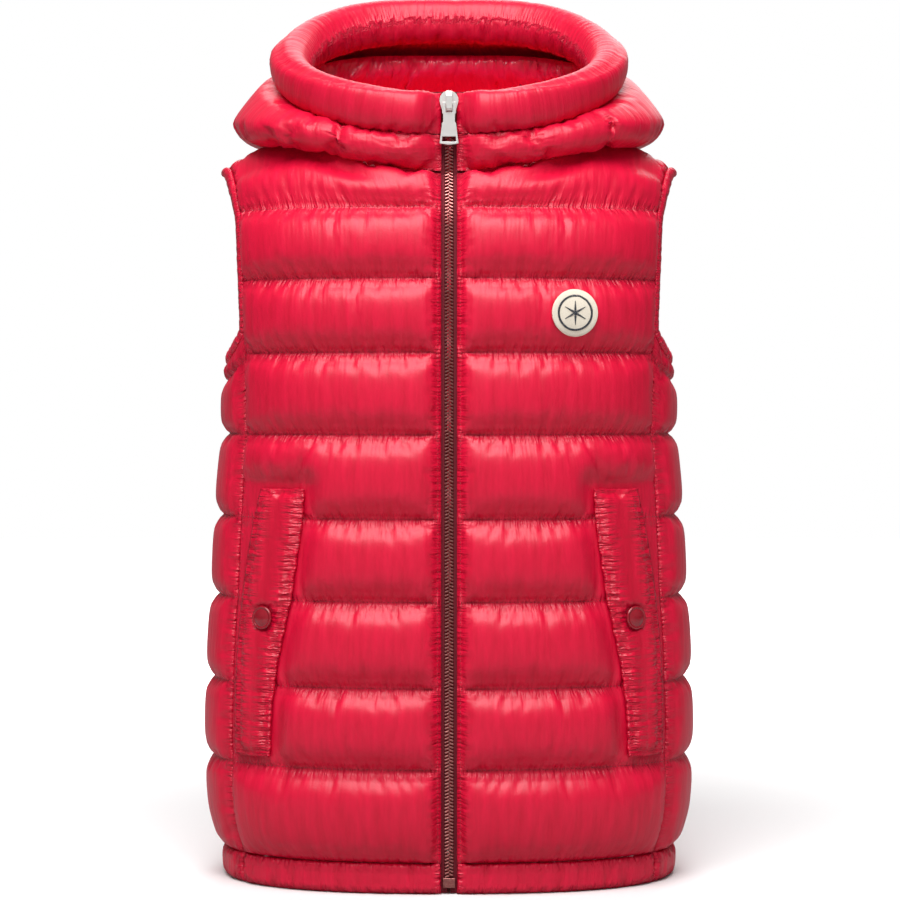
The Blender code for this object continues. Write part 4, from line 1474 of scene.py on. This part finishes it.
def make_snap(side):
    bm = bmesh.new()
    verts = [bm.verts.new((x * MM, 0, z * MM)) for x, z in SNAP_SECTION]
    edges = [bm.edges.new(pair) for pair in zip(verts, verts[1:])]
    bmesh.ops.spin(bm, geom=verts + edges, cent=(0, 0, 0), axis=(0, 0, 1), angle=math.tau,
                   steps=40, use_merge=True)
    bmesh.ops.remove_doubles(bm, verts=bm.verts, dist=0.001 * MM)
    bmesh.ops.recalc_face_normals(bm, faces=bm.faces)
    inner = outer_point(*SNAP_PLACE, 0)
    point = outer_point(*SNAP_PLACE, FLAP_STANDOFF + 3.0 * MM)
    turn = (point - inner).to_track_quat("Z", "Y").to_matrix().to_4x4()
    bmesh.ops.transform(bm, matrix=Matrix.Translation(point) @ turn, verts=bm.verts)
    if side == "right":
        mirror(bm)
    name = f"snap_{side}_cap"
    cap = add_piece(name, made_mesh(name, bm), enamel)
    smooth = cap.modifiers.new("rounded", "SUBSURF")
    smooth.levels = smooth.render_levels = 1
    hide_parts(f"snap_{side}")
    report(cap)


for side in ("left", "right"):
    make_snap(side)

# %% [markdown]
# On the wearer's left chest sits a small round patch of cream wool felt. It is plain but for
# its own stitching: a dark ring of satin stitches and a simple six-armed star. The disc follows
# the padded channel behind it, found by a ray onto the settled cloth.

# %% Chest patch
felt, felt_shader, fibres = mottled("cream wool felt", "D9CBB6", "F3EADB", 1400.0, 4.0,
                                    Roughness=0.95, Sheen_Weight=0.4, Sheen_Roughness=0.5)
relief(felt, felt_shader, fibres, 0.5, 0.3 * MM)
navy, navy_shader = new_material("navy embroidery thread", Roughness=0.55, Sheen_Weight=0.3)
navy_shader.inputs["Base Color"].default_value = linear("1C2333")

PATCH_PLACE = (77 * MM, -109 * MM)
PATCH_RADIUS = 14.2 * MM
PATCH_THICKNESS = 1.5 * MM


def on_chest(x, z, lift):
    """The point straight in front of the padded left front at this place."""
    spot, *_ = front_tree.ray_cast(Vector((x, -0.2, z)), Vector((0, 1, 0)))
    return spot + Vector((0.25, -1, 0)).normalized() * lift


bm = bmesh.new()
bmesh.ops.create_circle(bm, cap_ends=True, cap_tris=True, segments=64, radius=PATCH_RADIUS)
bmesh.ops.subdivide_edges(bm, edges=[edge for edge in bm.edges if not edge.is_boundary], cuts=7,
                          use_grid_fill=True)
# Felt is stiff, so each point takes the mean of the cloth around it and bridges its puckers.
BRIDGE = (-2.5 * MM, 0, 2.5 * MM)
for vert in bm.verts:
    x, z = PATCH_PLACE[0] + vert.co.x, PATCH_PLACE[1] + vert.co.y
    near = [on_chest(x + dx, z + dz, 0.5 * MM) for dx in BRIDGE for dz in BRIDGE]
    vert.co = sum(near, Vector()) / len(near) + Vector((0.1, -0.4, 0)) * MM
bmesh.ops.recalc_face_normals(bm, faces=bm.faces)
if sum(face.normal.y for face in bm.faces) > 0:
    bmesh.ops.reverse_faces(bm, faces=bm.faces)
patch_tree = BVHTree.FromBMesh(bm)
patch = add_piece("chest_patch_felt", made_mesh("chest_patch_felt", bm), felt)
thick = patch.modifiers.new("felt", "SOLIDIFY")
thick.thickness = PATCH_THICKNESS
thick.offset = 1
rounded = patch.modifiers.new("soft edge", "BEVEL")
rounded.width = 0.4 * MM
rounded.segments = 2
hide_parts("chest_patch")
report(patch)


def on_patch(radius, angle):
    x, z = radius * math.cos(angle), radius * math.sin(angle)
    spot, *_ = patch_tree.find_nearest(
        on_chest(PATCH_PLACE[0] + x, PATCH_PLACE[1] + z, 1 * MM))
    return spot


bm = bmesh.new()
RING_RADIUS = 10.2 * MM
RING_STITCHES = 110
STAR_ARMS, ARM_STITCHES = 6, 12
THREAD_LIFT = PATCH_THICKNESS + 0.1 * MM
for k in range(RING_STITCHES):
    angle = math.tau * k / RING_STITCHES
    sew(bm, patch_tree, [on_patch(RING_RADIUS - 0.7 * MM, angle - 0.03),
                         on_patch(RING_RADIUS + 0.7 * MM, angle + 0.03)],
        lift=THREAD_LIFT, length=1.9 * MM, radius=0.33 * MM)
for arm in range(STAR_ARMS):
    angle = math.tau * arm / STAR_ARMS + math.pi / 2
    for k in range(ARM_STITCHES):
        radius = lerp(1.0, 7.0, k / (ARM_STITCHES - 1)) * MM
        taper = 1 - k / (ARM_STITCHES + 2)
        turn = 1.1 * MM * taper / radius
        sew(bm, patch_tree, [on_patch(radius, angle - turn), on_patch(radius, angle + turn)],
            lift=THREAD_LIFT, length=2.4 * MM * taper, radius=0.32 * MM)
finish_stitches("chest_patch_stitches", bm, material=navy)

# %% [markdown]
# A pale floor just under the hem catches a soft shadow and bounces light into the lower folds.

# %% Floor
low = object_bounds()[0]
bm = bmesh.new()
bmesh.ops.create_grid(bm, x_segments=1, y_segments=1, size=4.0)
bmesh.ops.translate(bm, verts=bm.verts, vec=(0, 0, low[2] - 0.5 * MM))
floor = bpy.data.objects.new("floor", made_mesh("floor", bm, smooth=False))
floor_material, floor_shader = new_material("matt white paint", Roughness=0.9)
# The camera sees the paint white; the vest sees it darker, so its undersides stay in shade.
ray = add_node(floor_material, "LightPath").outputs["Is Camera Ray"]
tint(floor_material, floor_shader, ray, "B0B0B0", "FAFAFA")
# Far from the vest the floor glows as much as the sky, so that they meet without an edge.
far = add_node(floor_material, "VectorMath", operation="LENGTH",
               links={0: add_node(floor_material, "TexCoord").outputs["Object"]})
glow = add_node(floor_material, "MapRange", links={"Value": far.outputs["Value"]},
                values={"From Min": 0.55, "From Max": 1.3, "To Min": 0.0, "To Max": 0.9},
                interpolation_type="SMOOTHSTEP")
join(floor_material, product(floor_material, glow.outputs[0], ray), floor_shader,
     "Emission Strength")
floor_shader.inputs["Emission Color"].default_value = (1, 1, 1, 1)
floor.data.materials.append(floor_material)
studio.objects.link(floor)
